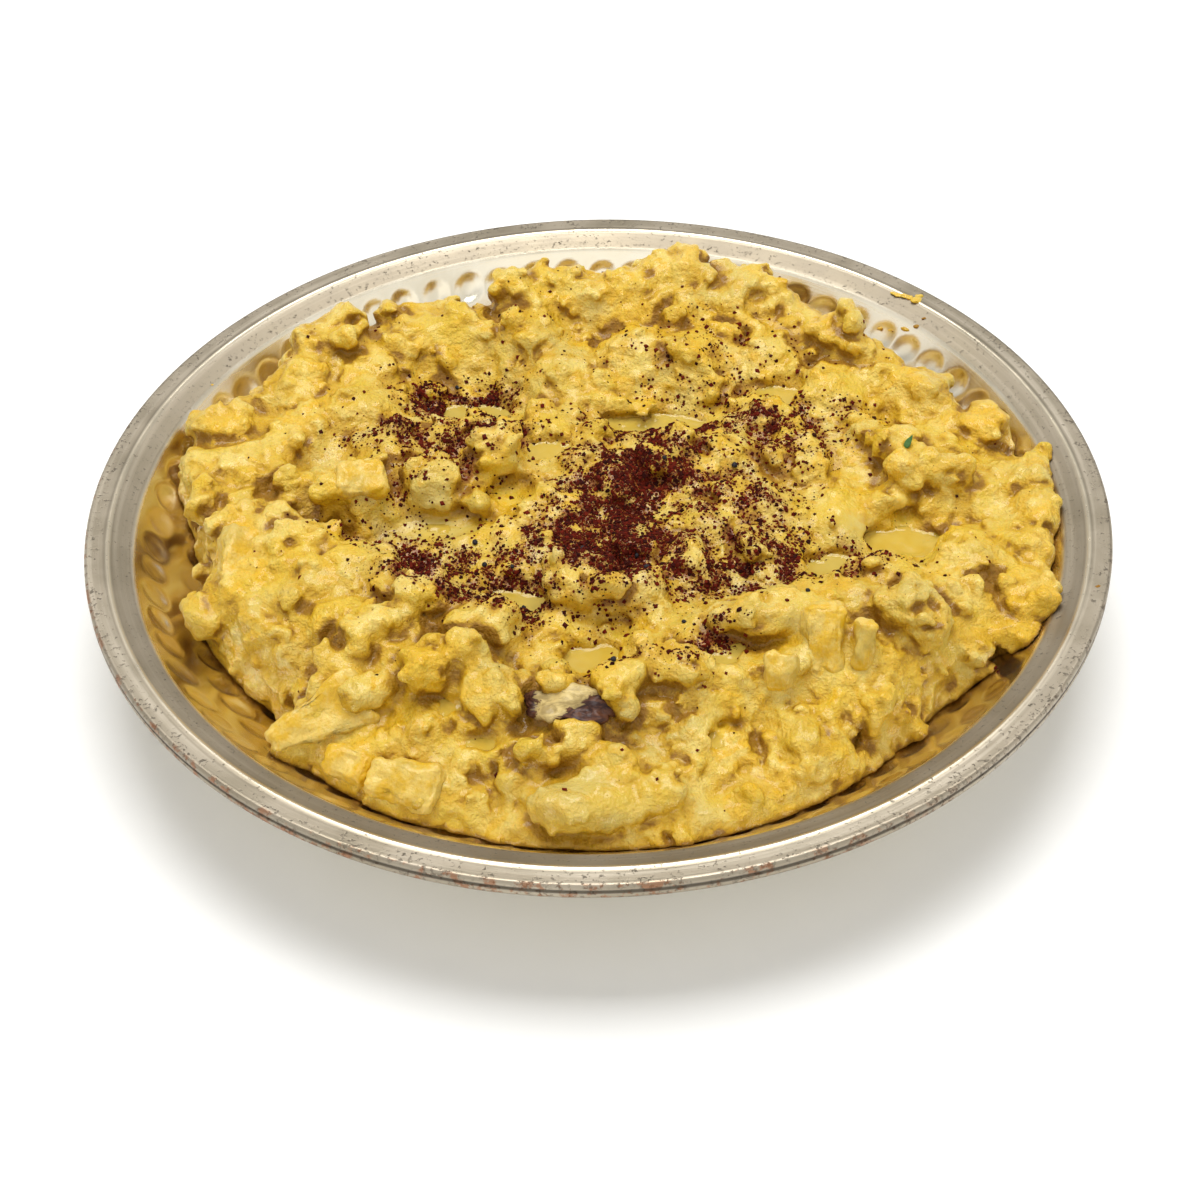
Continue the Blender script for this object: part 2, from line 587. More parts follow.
class Field:
    """A grid of distances in millimetres: negative in the dip, positive in the air."""

    def __init__(self, low, high, step):
        self.low = np.array(low, float)
        self.step = step
        self.count = np.ceil((np.array(high) - self.low) / step).astype(int) + 1
        self.axes = [self.low[i] + step * np.arange(self.count[i]) for i in range(3)]
        self.values = np.full(self.count, 10.0, np.float32)
        self.flesh = np.zeros(self.count, np.float32)

    def window(self, centre, reach):
        """The grid's slices and axes within a distance of a point."""
        low = np.maximum(np.floor((centre - reach - self.low) / self.step).astype(int), 0)
        high = np.minimum(np.ceil((centre + reach - self.low) / self.step).astype(int) + 1, self.count)
        if np.any(high <= low):
            return None
        cut = tuple(slice(a, b) for a, b in zip(low, high))
        return cut, [axis[part] for axis, part in zip(self.axes, cut)]

    def sample(self, grid, points):
        """Values of a grid at some points, by linear interpolation."""
        place = np.clip((points - self.low) / self.step, 0, self.count - 1.001)
        base = np.floor(place).astype(int)
        part = place - base
        total = np.zeros(len(points))
        for corner in range(8):
            offset = np.array([(corner >> i) & 1 for i in range(3)])
            weight = np.prod(np.where(offset, part, 1.0 - part), axis=1)
            index = base + offset
            total += weight * grid[index[:, 0], index[:, 1], index[:, 2]]
        return total

    def normals(self, points):
        """Directions out of the dip at some points."""
        slopes = []
        for axis in range(3):
            shift = np.zeros(3)
            shift[axis] = self.step
            slopes.append(self.sample(self.values, points + shift) - self.sample(self.values, points - shift))
        normals = np.stack(slopes, axis=1)
        return normals / np.maximum(np.linalg.norm(normals, axis=1, keepdims=True), 1e-6)


def blend_in(old, new, softness):
    """Smooth union of two distances, and the share of the new one."""
    share = np.clip(0.5 + 0.5 * (old - new) / softness, 0.0, 1.0)
    return old * (1.0 - share) + new * share - softness * share * (1.0 - share), share


def body_distance(axes, centre, sizes, turn, blockiness):
    """Distance to a turned ellipsoid, or to a rounded block where blockiness is above 0."""
    x, y, z = [axis - c for axis, c in zip(axes, centre)]
    local = [turn[0][i] * x[:, None, None] + turn[1][i] * y[None, :, None] + turn[2][i] * z[None, None, :]
             for i in range(3)]
    if blockiness <= 0.0:
        reach = np.sqrt(sum((p / s) ** 2 for p, s in zip(local, sizes)))
        steep = np.sqrt(sum((p / s ** 2) ** 2 for p, s in zip(local, sizes)))
        return reach * (reach - 1.0) / np.maximum(steep, 1e-4)
    rounding = (1.0 - blockiness) * min(sizes)
    past = [np.abs(p) - (s - rounding) for p, s in zip(local, sizes)]
    outside = np.sqrt(sum(np.maximum(p, 0.0) ** 2 for p in past))
    return outside + np.minimum(np.maximum(np.maximum(past[0], past[1]), past[2]), 0.0) - rounding


def add_body(field, centre, sizes, turn, softness, blockiness=0.0, flesh=0.0, dig=False):
    """Merge one lump into the dip, or dig one pit out of it."""
    found = field.window(centre, max(sizes) + softness + field.step)
    if found is None:
        return
    cut, axes = found
    body = body_distance(axes, centre, sizes, turn, blockiness).astype(np.float32)
    old = field.values[cut]
    if dig:
        field.values[cut] = -blend_in(-old, body, softness)[0]
        return
    merged, share = blend_in(old, body, softness)
    field.values[cut] = merged
    field.flesh[cut] = field.flesh[cut] * (1.0 - share) + flesh * share


def gradient_noise(points, rng):
    """Smooth noise of about -1 to 1 with one wave per unit, from a random lattice."""
    base = np.floor(points).astype(int)
    part = (points - base).astype(np.float32)
    low = base.min(axis=0)
    base -= low
    lattice = rng.normal(size=(*(base.max(axis=0) + 2), 3)).astype(np.float32)
    lattice /= np.linalg.norm(lattice, axis=3, keepdims=True)
    fade = part ** 3 * (part * (part * 6.0 - 15.0) + 10.0)
    total = np.zeros(len(points), np.float32)
    for corner in range(8):
        offset = np.array([(corner >> i) & 1 for i in range(3)])
        weight = np.prod(np.where(offset, fade, 1.0 - fade), axis=1)
        index = base + offset
        slopes = lattice[index[:, 0], index[:, 1], index[:, 2]]
        total += weight * np.einsum("ij,ij->i", slopes, part - offset.astype(np.float32))
    return 1.6 * total


def surface(values, low, step):
    """Points and quads of the surface where the values change sign (naive surface nets)."""
    inside = values < 0.0
    cell_shape = np.array(values.shape) - 1
    corners = np.zeros(cell_shape, np.int8)
    for i in range(8):
        cut = tuple(slice((i >> a) & 1, ((i >> a) & 1) + cell_shape[a]) for a in range(3))
        corners += inside[cut]
    cells = np.argwhere((corners > 0) & (corners < 8))
    index = np.full(cell_shape, -1, np.int64)
    index[tuple(cells.T)] = np.arange(len(cells))
    total = np.zeros((len(cells), 3))
    crossings = np.zeros(len(cells))
    for axis in range(3):
        across, along = [a for a in range(3) if a != axis]
        for i in range(4):
            start = np.zeros(3, int)
            start[across], start[along] = i & 1, i >> 1
            end = start.copy()
            end[axis] = 1
            first = values[tuple((cells + start).T)].astype(float)
            last = values[tuple((cells + end).T)].astype(float)
            crossed = (first < 0.0) != (last < 0.0)
            share = np.where(crossed, first / np.where(crossed, first - last, 1.0), 0.0)
            total += np.where(crossed[:, None], start + share[:, None] * (end - start), 0.0)
            crossings += crossed
    points = low + step * (cells + total / crossings[:, None])
    return points, surface_quads(inside, index)


def surface_quads(inside, index):
    """One quad round each grid edge that the surface crosses."""
    quads = []
    for axis in range(3):
        b, c = (axis + 1) % 3, (axis + 2) % 3
        one = np.take(inside, range(inside.shape[axis] - 1), axis=axis)
        two = np.take(inside, range(1, inside.shape[axis]), axis=axis)
        edges = np.argwhere(one != two)
        kept = (edges[:, b] > 0) & (edges[:, c] > 0)
        kept &= (edges[:, b] < inside.shape[b] - 1) & (edges[:, c] < inside.shape[c] - 1)
        edges = edges[kept]
        leaving = one[tuple(edges.T)]
        step_b, step_c = np.eye(3, dtype=int)[b], np.eye(3, dtype=int)[c]
        ring = [edges - step_b - step_c, edges - step_c, edges, edges - step_b]
        quad = np.stack([index[tuple(cell.T)] for cell in ring], axis=1)
        quads.append(np.where(leaving[:, None], quad, quad[:, ::-1]))
    return np.concatenate(quads)


# Dip: its forms -------------------------------------------------------------------------------

# Forms that stand out, as (x, y, height over the rim, half sizes, turns in degrees, blockiness,
# flesh): knobs, slabs and smooth mounds in their places.
FEATURES = [
    (-3.5, -26.5, 1.4, (6.4, 5.6, 4.6), (0, 0, 20), 0.0, 0.1),       # round knob at the middle
    (8.5, -27.5, 0.8, (4.5, 3.8, 3.0), (10, 0, 60), 0.0, 0.1),
    (-2.5, -75.0, -7.4, (11.0, 6.0, 4.4), (-22, 4, 6), 0.0, 0.1),    # smooth oily mound in front
    (9.5, -73.0, -6.8, (5.0, 4.4, 3.8), (-10, 0, 30), 0.0, 0.1),
    (-33.0, -30.0, 3.4, (5.0, 3.2, 2.8), (0, 14, 18), 0.5, 0.3),
    (-22.0, -38.0, 1.8, (6.0, 4.4, 3.2), (-20, -12, -14), 0.4, 0.2),
    (-30.0, -47.0, 0.4, (5.6, 4.6, 3.4), (-30, 10, 20), 0.55, 0.5),  # oily slab on the front slope
    (-41.0, -38.0, 1.6, (7.0, 3.4, 3.0), (-24, 6, 28), 0.3, 0.2),
    (-19.0, -54.0, -1.2, (4.4, 4.0, 3.2), (-20, 0, 0), 0.3, 0.3),
    (-8.0, -64.0, -4.6, (6.4, 3.2, 3.0), (-24, 0, 4), 0.3, 0.4),     # lump under the skin
    (5.5, -50.5, 0.6, (5.2, 3.0, 2.6), (-14, -10, 16), 0.4, 0.8),
    (14.0, -49.0, 0.4, (5.4, 4.0, 2.8), (-10, 0, -20), 0.3, 0.5),
    (13.0, 11.0, 1.0, (5.0, 3.4, 2.8), (0, 18, 40), 0.45, 0.4),
    (-20.0, 13.5, 3.0, (4.0, 3.6, 3.0), (0, 0, 10), 0.4, 0.2),       # square knob behind the valley
    (-33.0, 5.5, 2.2, (4.4, 4.2, 2.8), (10, -6, 24), 0.5, 0.2),
    (34.0, -38.0, 2.4, (9.0, 4.0, 3.0), (-18, 4, 6), 0.2, 0.1),      # ridge on the front right
    (58.0, -38.0, 1.0, (6.0, 4.4, 3.4), (-14, 20, -36), 0.3, 0.1),
    (66.0, 5.0, 1.0, (8.0, 3.0, 3.0), (-24, 8, -4), 0.45, 0.35),
    (60.0, 13.0, 2.0, (4.4, 2.4, 2.2), (-10, 0, 30), 0.5, 0.5),
    (79.0, 21.5, -1.6, (4.6, 4.0, 3.2), (0, 0, 50), 0.3, 0.5),
    (86.5, 5.0, -2.4, (4.0, 3.0, 2.4), (0, 16, 14), 0.2, 0.35),      # lumps hanging at the right
    (86.8, -3.8, -2.6, (3.2, 4.0, 2.8), (0, 0, 0), 0.1, 0.3),
    (84.0, -15.0, -3.2, (3.4, 4.6, 3.2), (0, 0, -10), 0.2, 0.5),
    (82.5, -27.5, -4.0, (3.6, 4.2, 3.0), (0, 0, -20), 0.2, 0.4),
    (80.0, -37.0, -6.2, (5.0, 3.2, 2.6), (0, 22, -30), 0.4, 0.6),
    (52.0, 45.0, 4.2, (6.0, 3.0, 2.6), (0, 12, -40), 0.4, 0.5),
    (33.0, 65.0, 5.6, (4.0, 3.2, 3.0), (0, 0, 0), 0.2, 0.4),
    (16.0, 67.0, 6.8, (3.6, 3.0, 3.4), (0, 0, 30), 0.25, 0.4),       # highest lumps, at the back
    (9.0, 64.0, 5.5, (4.0, 3.0, 3.0), (20, 0, 0), 0.2, 0.6),
    (22.0, 62.0, 5.9, (4.6, 3.0, 2.6), (0, -24, 50), 0.4, 0.5),
    (-8.0, 66.5, 5.4, (4.6, 3.0, 3.0), (0, 10, 0), 0.3, 0.4),
    (-15.0, 64.0, 4.4, (3.6, 3.2, 3.0), (0, 0, 0), 0.2, 0.2),
    (-28.5, 57.5, 2.8, (3.0, 2.6, 2.4), (0, 0, 0), 0.2, 0.4),
    (-58.0, 53.0, 2.2, (6.0, 4.0, 2.8), (0, 0, 30), 0.2, 0.4),
    (-75.5, 26.5, -1.0, (5.0, 4.2, 3.0), (0, 0, 20), 0.2, 0.6),
    (-79.2, 14.0, -2.6, (3.6, 5.0, 3.2), (0, 0, 0), 0.1, 0.4),
    (-69.5, -9.0, -0.6, (4.0, 3.0, 3.0), (0, 10, 70), 0.4, 0.7),
    (-75.0, -25.0, -6.4, (3.6, 4.2, 3.2), (0, 0, 20), 0.3, 0.6),
    (-42.5, -49.5, -3.2, (6.0, 4.6, 3.0), (-30, -10, 24), 0.0, 0.1),   # over the wedge's far end
    (-47.0, -45.0, -2.4, (5.4, 4.0, 2.8), (-26, -8, 10), 0.0, 0.2),
    (-7.5, -53.4, 1.2, (3.4, 1.8, 1.6), (-10, 0, -14), 0.2, 0.1),    # over and under the skin
    (-4.0, -61.8, -2.4, (3.4, 1.8, 1.8), (-20, 0, 0), 0.2, 0.2),
    (2.6, -54.6, 1.4, (3.6, 2.0, 1.8), (-10, 8, 10), 0.4, 0.9),
]
# Gaps where the dark of the dish shows, as (x, y, height over the rim, half sizes).
NOTCHES = [
    (-79.5, 5.0, -7.0, (3.0, 2.6, 3.0)), (-62.0, -45.0, -13.0, (7.0, 4.0, 4.5)),
    (28.5, -62.5, -3.0, (3.0, 2.4, 4.0)), (-20.0, -66.5, -7.0, (5.0, 1.8, 3.0)),
    (38.0, -71.0, -11.0, (2.8, 3.0, 3.0)), (-22.0, -77.0, -10.5, (5.0, 2.4, 2.6)),
    (66.0, -46.0, -9.0, (4.0, 3.0, 3.4)), (72.5, -38.0, -9.0, (4.0, 2.4, 3.4)),
    (47.0, -59.0, -9.0, (4.0, 2.6, 3.0)), (-10.0, -63.0, -2.6, (3.4, 1.8, 2.6)),
    (3.0, -62.0, -3.2, (3.6, 1.8, 2.6)),
]
# Pools of oil as (x, y, half length, half width, turn in degrees, depth).
POOLS = [
    (-32.0, -3.0, 8.0, 3.6, -10, 1.3), (-18.0, 5.5, 3.4, 4.2, 10, 1.2), (-26.0, 36.0, 7.0, 3.2, 0, 1.3),
    (-15.5, -24.0, 5.0, 3.0, 20, 1.5), (-1.6, -41.0, 4.4, 3.0, 0, 1.4), (-27.0, -54.0, 3.6, 1.8, 8, 0.8),
    (22.0, -45.0, 3.0, 2.6, 0, 1.1), (56.0, -8.0, 9.0, 3.2, -6, 1.2), (20.9, -60.0, 2.2, 4.0, -10, 1.1),
    (-21.5, -61.5, 2.8, 1.5, 0, 0.8), (12.0, 29.5, 9.0, 2.6, 4, 1.2), (38.0, 33.0, 4.4, 3.0, 20, 1.0),
    (44.0, -17.0, 6.0, 3.0, 0, 1.1), (-9.0, 17.0, 3.2, 2.6, 0, 1.0), (60.5, -2.0, 2.4, 3.4, 0, 1.0),
]
# Yellow and greyish patches as (x, y, half length, half width, turn in degrees, strength).
YELLOW_PATCHES = [
    (12, -47, 6, 3, 20, 0.8), (-3, -53, 7, 2.4, 10, 0.9), (-69, -12, 3, 8, 0, 0.9), (-76, 26, 6, 5, 0, 0.6),
    (81, -34, 6, 6, 0, 0.8), (84, -14, 3, 7, 0, 0.5), (79, 21, 6, 5, 0, 0.6), (6, 54, 9, 5, 20, 0.9),
    (-31, -47, 7, 5, 10, 0.6), (26, 50, 8, 3, -10, 0.6), (45, 47, 9, 3, -40, 0.6), (-45, 28, 5, 3, 0, 0.5),
    (48, -47, 5, 5, 0, 0.5), (-47, -62, 8, 4, 30, 0.6), (62, -55, 6, 3, 40, 0.4), (30, -70, 5, 3, 0, 0.5),
    (-13, -79, 10, 3, 0, 0.5), (-60, -30, 8, 3, 60, 0.4), (-35, 48, 8, 3, 0, 0.4), (66, 30, 7, 4, -30, 0.4),
]
GREY_PATCHES = [
    (-3, -75, 13, 7, 4, 1.0), (6, -62, 8, 4, 0, 0.8), (-22, -50, 6, 5, 0, 0.5), (-38, -45, 8, 3, 20, 0.7),
    (38, -42, 9, 5, 0, 0.8), (58, -38, 8, 6, -30, 0.7), (-30, -1, 10, 5, -10, 0.5), (10, 28, 12, 4, 0, 0.5),
    (0, -20, 14, 6, 0, 0.6), (30, -26, 14, 5, 0, 0.4), (52, -9, 10, 4, 0, 0.4), (-5, 45, 8, 4, 0, 0.4),
]
# Smooth smears as (x, y, half length, half width, turn in degrees, strength).
SMEARS = [
    (-32, -13, 13, 4, -22, 0.9), (-24, -6, 9, 5, -20, 0.6), (-30, -24, 8, 2.6, -24, 0.6), (-8, -34, 9, 3, 0, 0.5),
    (38, -41, 7, 5, 0, 0.8), (-3, -74, 12, 6, 4, 0.7), (24, 30, 14, 3, 0, 0.5), (50, -6, 9, 4, -8, 0.6),
    (-52, -8, 5, 9, 20, 0.4), (66, -12, 8, 4, -20, 0.4), (10, 34, 10, 4, 0, 0.4), (-40, -52, 5, 8, 20, 0.4),
]
# Sprinklings of sumac as (x, y, half length, half width, turn in degrees, strength).
SPRINKLES = [
    (3, -6, 9, 17, -14, 3.8), (11, 3, 10, 10, 20, 2.0), (8, -20, 8, 7, 0, 1.6), (-34, 37, 6, 4, 0, 3.0),
    (-23, 38, 6, 4, 10, 2.0), (-33, 20, 12, 5, -8, 1.5), (-19, 21, 6, 4, 20, 1.3), (-28, 9, 8, 5, 0, 0.4),
    (-33, -13, 13, 4.4, -22, 2.6), (-31, -27, 9, 3.6, -24, 2.2), (-18, -28, 6, 4, -30, 2.2),
    (-11, -15, 9, 8, 0, 1.0), (24, 25, 20, 3.8, 0, 1.3), (40, 18, 9, 7, 0, 0.8), (32, -4, 8, 12, 10, 0.8),
    (34, -20, 15, 5, -6, 1.6), (53, -15, 7, 2.4, -8, 1.2), (24, 38, 16, 12, 0, 0.22), (-12, 56, 8, 5, 0, 0.06),
    (21, -42, 4, 2.6, 0, 1.2), (15, -49, 4, 3, 30, 0.6), (3, -48, 6, 3, 0, 0.6), (-17, -37, 3, 2, 0, 0.8),
    (-39, 2, 8, 4, 0, 0.3), (22, -24, 10, 3, 0, 0.9), (0, 0, 58, 52, 0, 0.012),
]


POOL_LEVELS = []                           # height of each pool's oil, found when the dip is grown


def blur(grid, sigma):
    """Gaussian blur of a flat grid, sigma in cells."""
    reach = int(math.ceil(3.0 * sigma))
    kernel = np.exp(-0.5 * (np.arange(-reach, reach + 1) / sigma) ** 2)
    kernel /= kernel.sum()
    for axis in range(2):
        padded = np.pad(grid, [(reach, reach) if a == axis else (0, 0) for a in range(2)], mode="edge")
        grid = sum(w * np.take(padded, range(i, i + grid.shape[axis]), axis=axis)
                   for i, w in enumerate(kernel))
    return grid


def cad_tree(names):
    """A ray-casting tree of some CAD nodes, in millimetres."""
    verts, faces = [], []
    for name in names:
        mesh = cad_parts[name].data
        start = len(verts)
        verts += [v.co / MM for v in mesh.vertices]
        faces += [[start + i for i in polygon.vertices] for polygon in mesh.polygons]
    return BVHTree.FromPolygons(verts, faces)


def column_heights(tree, xs, ys, missing):
    """Height of the first hit from above in each column, or missing(radius) where there is none."""
    heights = np.zeros((len(xs), len(ys)))
    for i, x in enumerate(xs):
        for j, y in enumerate(ys):
            hit = tree.ray_cast(Vector((x, y, 99.0)), Vector((0.0, 0.0, -1.0)))[0]
            heights[i, j] = hit.z if hit else missing(math.hypot(x, y))
    return heights


def ellipse(points, x, y, length, width, turn):
    """1 at the middle of a turned ellipse, falling to 0 like a bell."""
    c, s = math.cos(math.radians(turn)), math.sin(math.radians(turn))
    dx, dy = points[:, 0] - x, points[:, 1] - y
    return np.exp(-((c * dx + s * dy) / length) ** 2 - ((c * dy - s * dx) / width) ** 2)


def turn_matrix(turns):
    """Rows of a rotation, from turns in degrees."""
    return np.array(Euler([math.radians(t) for t in turns]).to_matrix())


def laid_turn(rng, normal, tilt):
    """Rows of a rotation that lays a body on the surface, turned at random and tilted a little."""
    rough = rng.normal(size=3)
    along = rough - normal * rough.dot(normal)
    along /= max(np.linalg.norm(along), 1e-6)
    rows = np.stack([along, np.cross(normal, along), normal])
    return rows @ turn_matrix(rng.normal(0.0, tilt, 3)).T


def heap_field(settings):
    """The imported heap's own form, softened, as a field."""
    reach = 0.94 * RIM
    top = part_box("dip")[1][2] / MM + 5.0
    field = Field((-reach, -reach, 0.0), (reach, reach, top), settings.cell)
    xs, ys, zs = field.axes
    names = ["dip", "aubergine_skin"] + CHUNK_NODES
    coarse = 1.0
    cx, cy = [np.arange(axis[0], axis[-1] + coarse, coarse) for axis in (xs, ys)]
    heights = column_heights(cad_tree(names), cx, cy, lambda r: float(wall_height(r)) - 2.2)
    heights = blur(heights, 1.2)
    heights = np.stack([np.interp(ys, cy, row) for row in heights])
    heights = np.stack([np.interp(xs, cx, column) for column in heights.T], axis=1)
    slope_x, slope_y = np.gradient(heights, settings.cell)
    steep = np.sqrt(1.0 + slope_x ** 2 + slope_y ** 2)
    sunk = 1.2                       # the lumps added next bring the surface back up
    field.values = ((zs[None, None, :] - heights[:, :, None] + sunk) / steep[:, :, None]).astype(np.float32)
    return field


def keep_off_dish(field, gap):
    """Trim the dip where it would enter the dish."""
    xs, ys, zs = field.axes
    radius = np.hypot(xs[:, None], ys[None, :])
    slope = wall_slope(radius)
    floor = (zs[None, None, :] - wall_height(radius)[:, :, None]) / np.hypot(1.0, slope)[:, :, None]
    field.values = np.maximum(field.values, (gap - floor).astype(np.float32))


def lower_peaks(field, height):
    """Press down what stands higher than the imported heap's own top."""
    over = np.broadcast_to((height - field.axes[2]).astype(np.float32), field.values.shape)
    field.values = -blend_in(-field.values, over, 1.5)[0]


def calm(points):
    """0 where the dip is lumpy, up to 1 where it is smeared smooth with oil."""
    smooth = sum(ellipse(points, x, y, l, w, t) for x, y, l, w, t, depth in POOLS)
    return np.clip(smooth + 0.85 * patches(points, SMEARS), 0.0, 1.0)


def near_chunks(points, margin):
    """1 inside the separate chunks and the skin, falling to 0 at a margin round them."""
    near = np.zeros(len(points))
    for name in CHUNK_NODES + ["aubergine_skin"]:
        low, high = [np.array(corner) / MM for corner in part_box(name)]
        tree = cad_tree([name])
        around = np.all((points > low - margin) & (points < high + margin), axis=1)
        for i in np.where(around)[0]:
            place, normal, face, distance = tree.find_nearest(Vector(points[i]), margin)
            if place is None:
                continue
            inside = normal.dot(Vector(points[i]) - place) < 0.0
            near[i] = max(near[i], 1.0 if inside else 1.0 - distance / margin)
    return near


def sow(field, rng, count):
    """Points of the present surface, spread evenly, with their directions out of the dip."""
    points = surface(field.values, field.low, field.step)[0]
    points = points[rng.permutation(len(points))[:count * 3]]
    radius = np.hypot(points[:, 0], points[:, 1])
    clear = (points[:, 2] - wall_height(radius) > 0.3) & (near_chunks(points, 1.2) < 0.6)
    clear &= rng.random(len(points)) > 0.9 * calm(points)
    points = points[clear][:count]
    return points, field.normals(points)


def add_lumps(field, rng, count, sizes, shape, softness, blockiness=0.0, flesh_share=0.3, tilt=30.0):
    """Set lumps into the surface: shape gives their least and most width, height and rise."""
    widths, heights, rises = shape
    for point, normal in zip(*sow(field, rng, count)):
        size = np.exp(rng.uniform(math.log(sizes[0]), math.log(sizes[1])))
        half = size * np.array([1.0, rng.uniform(*widths), rng.uniform(*heights)])
        centre = point + normal * half[2] * rng.uniform(*rises)
        flesh = rng.uniform(0.55, 1.0) if rng.random() < flesh_share else rng.uniform(0.0, 0.2)
        add_body(field, centre, half, laid_turn(rng, normal, tilt), softness, blockiness, flesh)


def dig_pits(field, rng, count, sizes, softness):
    """Press small creases and pits into the surface."""
    for point, normal in zip(*sow(field, rng, count)):
        size = rng.uniform(*sizes)
        half = size * np.array([rng.uniform(0.9, 2.6), rng.uniform(0.25, 0.5), rng.uniform(0.4, 0.8)])
        centre = point + normal * half[2] * rng.uniform(0.0, 0.6)
        add_body(field, centre, half, laid_turn(rng, normal, 25.0), softness, dig=True)


def crumple(field, rng, waves, warp):
    """Push the surface in and out by noise: waves as (width, height, creased share) in mm."""
    near = np.argwhere(np.abs(field.values) < 2.0)
    points = field.low + field.step * near
    loose = (1.0 - 0.85 * calm(points)) * (1.0 - 0.7 * near_chunks(points, 1.0))
    drift = np.stack([gradient_noise(points / 8.0, rng) for axis in range(3)], axis=1)
    moved = points + warp * drift
    shift = np.zeros(len(points))
    for width, height, creased in waves:
        wave = gradient_noise(moved / width, rng)
        shift += height * (creased * (2.4 * np.abs(wave) - 0.5) + (1.0 - creased) * wave)
    field.values[tuple(near.T)] -= (shift * loose).astype(np.float32)


def add_features(field):
    """The forms and gaps that have a place of their own."""
    for x, y, z, sizes, turns, blockiness, flesh in FEATURES:
        add_body(field, np.array((x, y, TOP + z)), sizes, turn_matrix(turns), 1.8, blockiness, flesh)
    for x, y, z, sizes in NOTCHES:
        add_body(field, np.array((x, y, TOP + z)), sizes, np.eye(3), 1.4, dig=True)


def column_top(field, x, y):
    """Height of the dip's surface over one place."""
    i, j = [int(round((v - low) / field.step)) for v, low in zip((x, y), field.low)]
    column = field.values[i, j]
    return field.axes[2][np.where(column < 0.0)[0][-1]]


def press_basins(field):
    """Press a smooth basin under each pool, and return the highest level of its oil."""
    levels = []
    for x, y, length, width, turn, depth in POOLS:
        around = [column_top(field, x + 0.7 * length * math.cos(a), y + 0.7 * width * math.sin(a))
                  for a in np.linspace(0.0, 2.0 * math.pi, 9)]
        middle = float(np.percentile(around, 35))
        rows = turn_matrix((0.0, 0.0, -turn))
        sizes = (1.3 * length, 1.3 * width, depth + 0.6)
        add_body(field, np.array((x, y, middle + 0.3)), sizes, rows, 1.6, dig=True)
        levels.append(middle - 0.1)
    return levels


def soften(field, sigma):
    """Blur the field a little, so that lumps melt into each other; sigma in cells."""
    reach = 2
    kernel = np.exp(-0.5 * (np.arange(-reach, reach + 1) / sigma) ** 2)
    kernel = (kernel / kernel.sum()).astype(np.float32)
    for axis in range(3):
        blurred = kernel[reach] * field.values
        for i in range(1, reach + 1):
            ahead = np.concatenate([np.take(field.values, range(i, field.count[axis]), axis=axis),
                                    np.take(field.values, [-1] * i, axis=axis)], axis=axis)
            behind = np.concatenate([np.take(field.values, [0] * i, axis=axis),
                                     np.take(field.values, range(field.count[axis] - i), axis=axis)], axis=axis)
            blurred += kernel[reach + i] * (ahead + behind)
        field.values = blurred


def grow_dip(settings):
    """The whole dip as a field: the heap, then lumps from large to small, then creases."""
    rng = np.random.default_rng(settings.seed)
    field = heap_field(settings)
    add_features(field)
    add_lumps(field, rng, settings.chunks, (2.6, 5.4), ((0.5, 0.9), (0.25, 0.42), (-0.85, -0.15)), 1.1, 0.5, 0.45, 14.0)
    crumple(field, rng, [(9.0, 0.45, 0.3)], 2.0)
    levels = press_basins(field)
    lumps = settings.lumps
    add_lumps(field, rng, lumps // 3, (1.4, 2.7), ((0.6, 0.95), (0.35, 0.6), (-0.9, -0.3)), 0.9, 0.35, 0.3, 20.0)
    dig_pits(field, rng, settings.pits, (1.0, 2.2), 0.8)
    soften(field, 0.8)
    add_lumps(field, rng, lumps, (0.8, 1.5), ((0.6, 1.0), (0.5, 0.8), (-0.9, -0.3)), 0.5, 0.1, 0.25)
    add_lumps(field, rng, settings.shreds, (1.5, 3.2), ((0.22, 0.36), (0.2, 0.3), (-0.9, 0.0)), 0.4, 0.0, 0.5, 6.0)
    soften(field, 0.6)
    crumple(field, rng, [(3.2, 0.22, 0.3), (1.7, 0.15, 0.3)], 1.0)
    add_lumps(field, rng, settings.grains, (0.5, 0.85), ((0.6, 1.0), (0.6, 1.0), (-0.8, -0.1)), 0.35, 0.0, 0.2)
    lower_peaks(field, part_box("dip")[1][2] / MM)
    keep_off_dish(field, 0.05)
    return field, levels


def roughen(points, normals):
    """Small waves and grain, in millimetres, along the normals."""
    shift = np.zeros(len(points))
    for i, point in enumerate(points):
        place = Vector(point)
        shift[i] = 0.26 * noise.noise(place / 2.1) + 0.16 * noise.noise(place / 0.95)
    return points + normals * shift[:, None]


def hollowness(field, points, normals):
    """0 on bumps to 1 in crevices: how much dip lies just outside the surface."""
    shut = np.zeros(len(points))
    for reach, weight in ((1.0, 0.5), (2.2, 0.65), (4.5, 0.6)):
        ahead = field.sample(field.values, points + normals * reach)
        shut += weight * np.clip(1.0 - ahead / reach, 0.0, 1.0)
    return np.clip(shut, 0.0, 1.0)


def largest_part(points, quads):
    """Drop loose crumbs: keep the faces joined to the biggest body."""
    label = np.arange(len(points))
    while True:
        low = label[quads].min(axis=1)
        new = label.copy()
        for corner in range(4):
            np.minimum.at(new, quads[:, corner], low)
        new = new[new]
        if np.array_equal(new, label):
            break
        label = new
    names, counts = np.unique(label, return_counts=True)
    kept = label == names[np.argmax(counts)]
    index = np.cumsum(kept) - 1
    return points[kept], index[quads[kept[quads].all(axis=1)]]


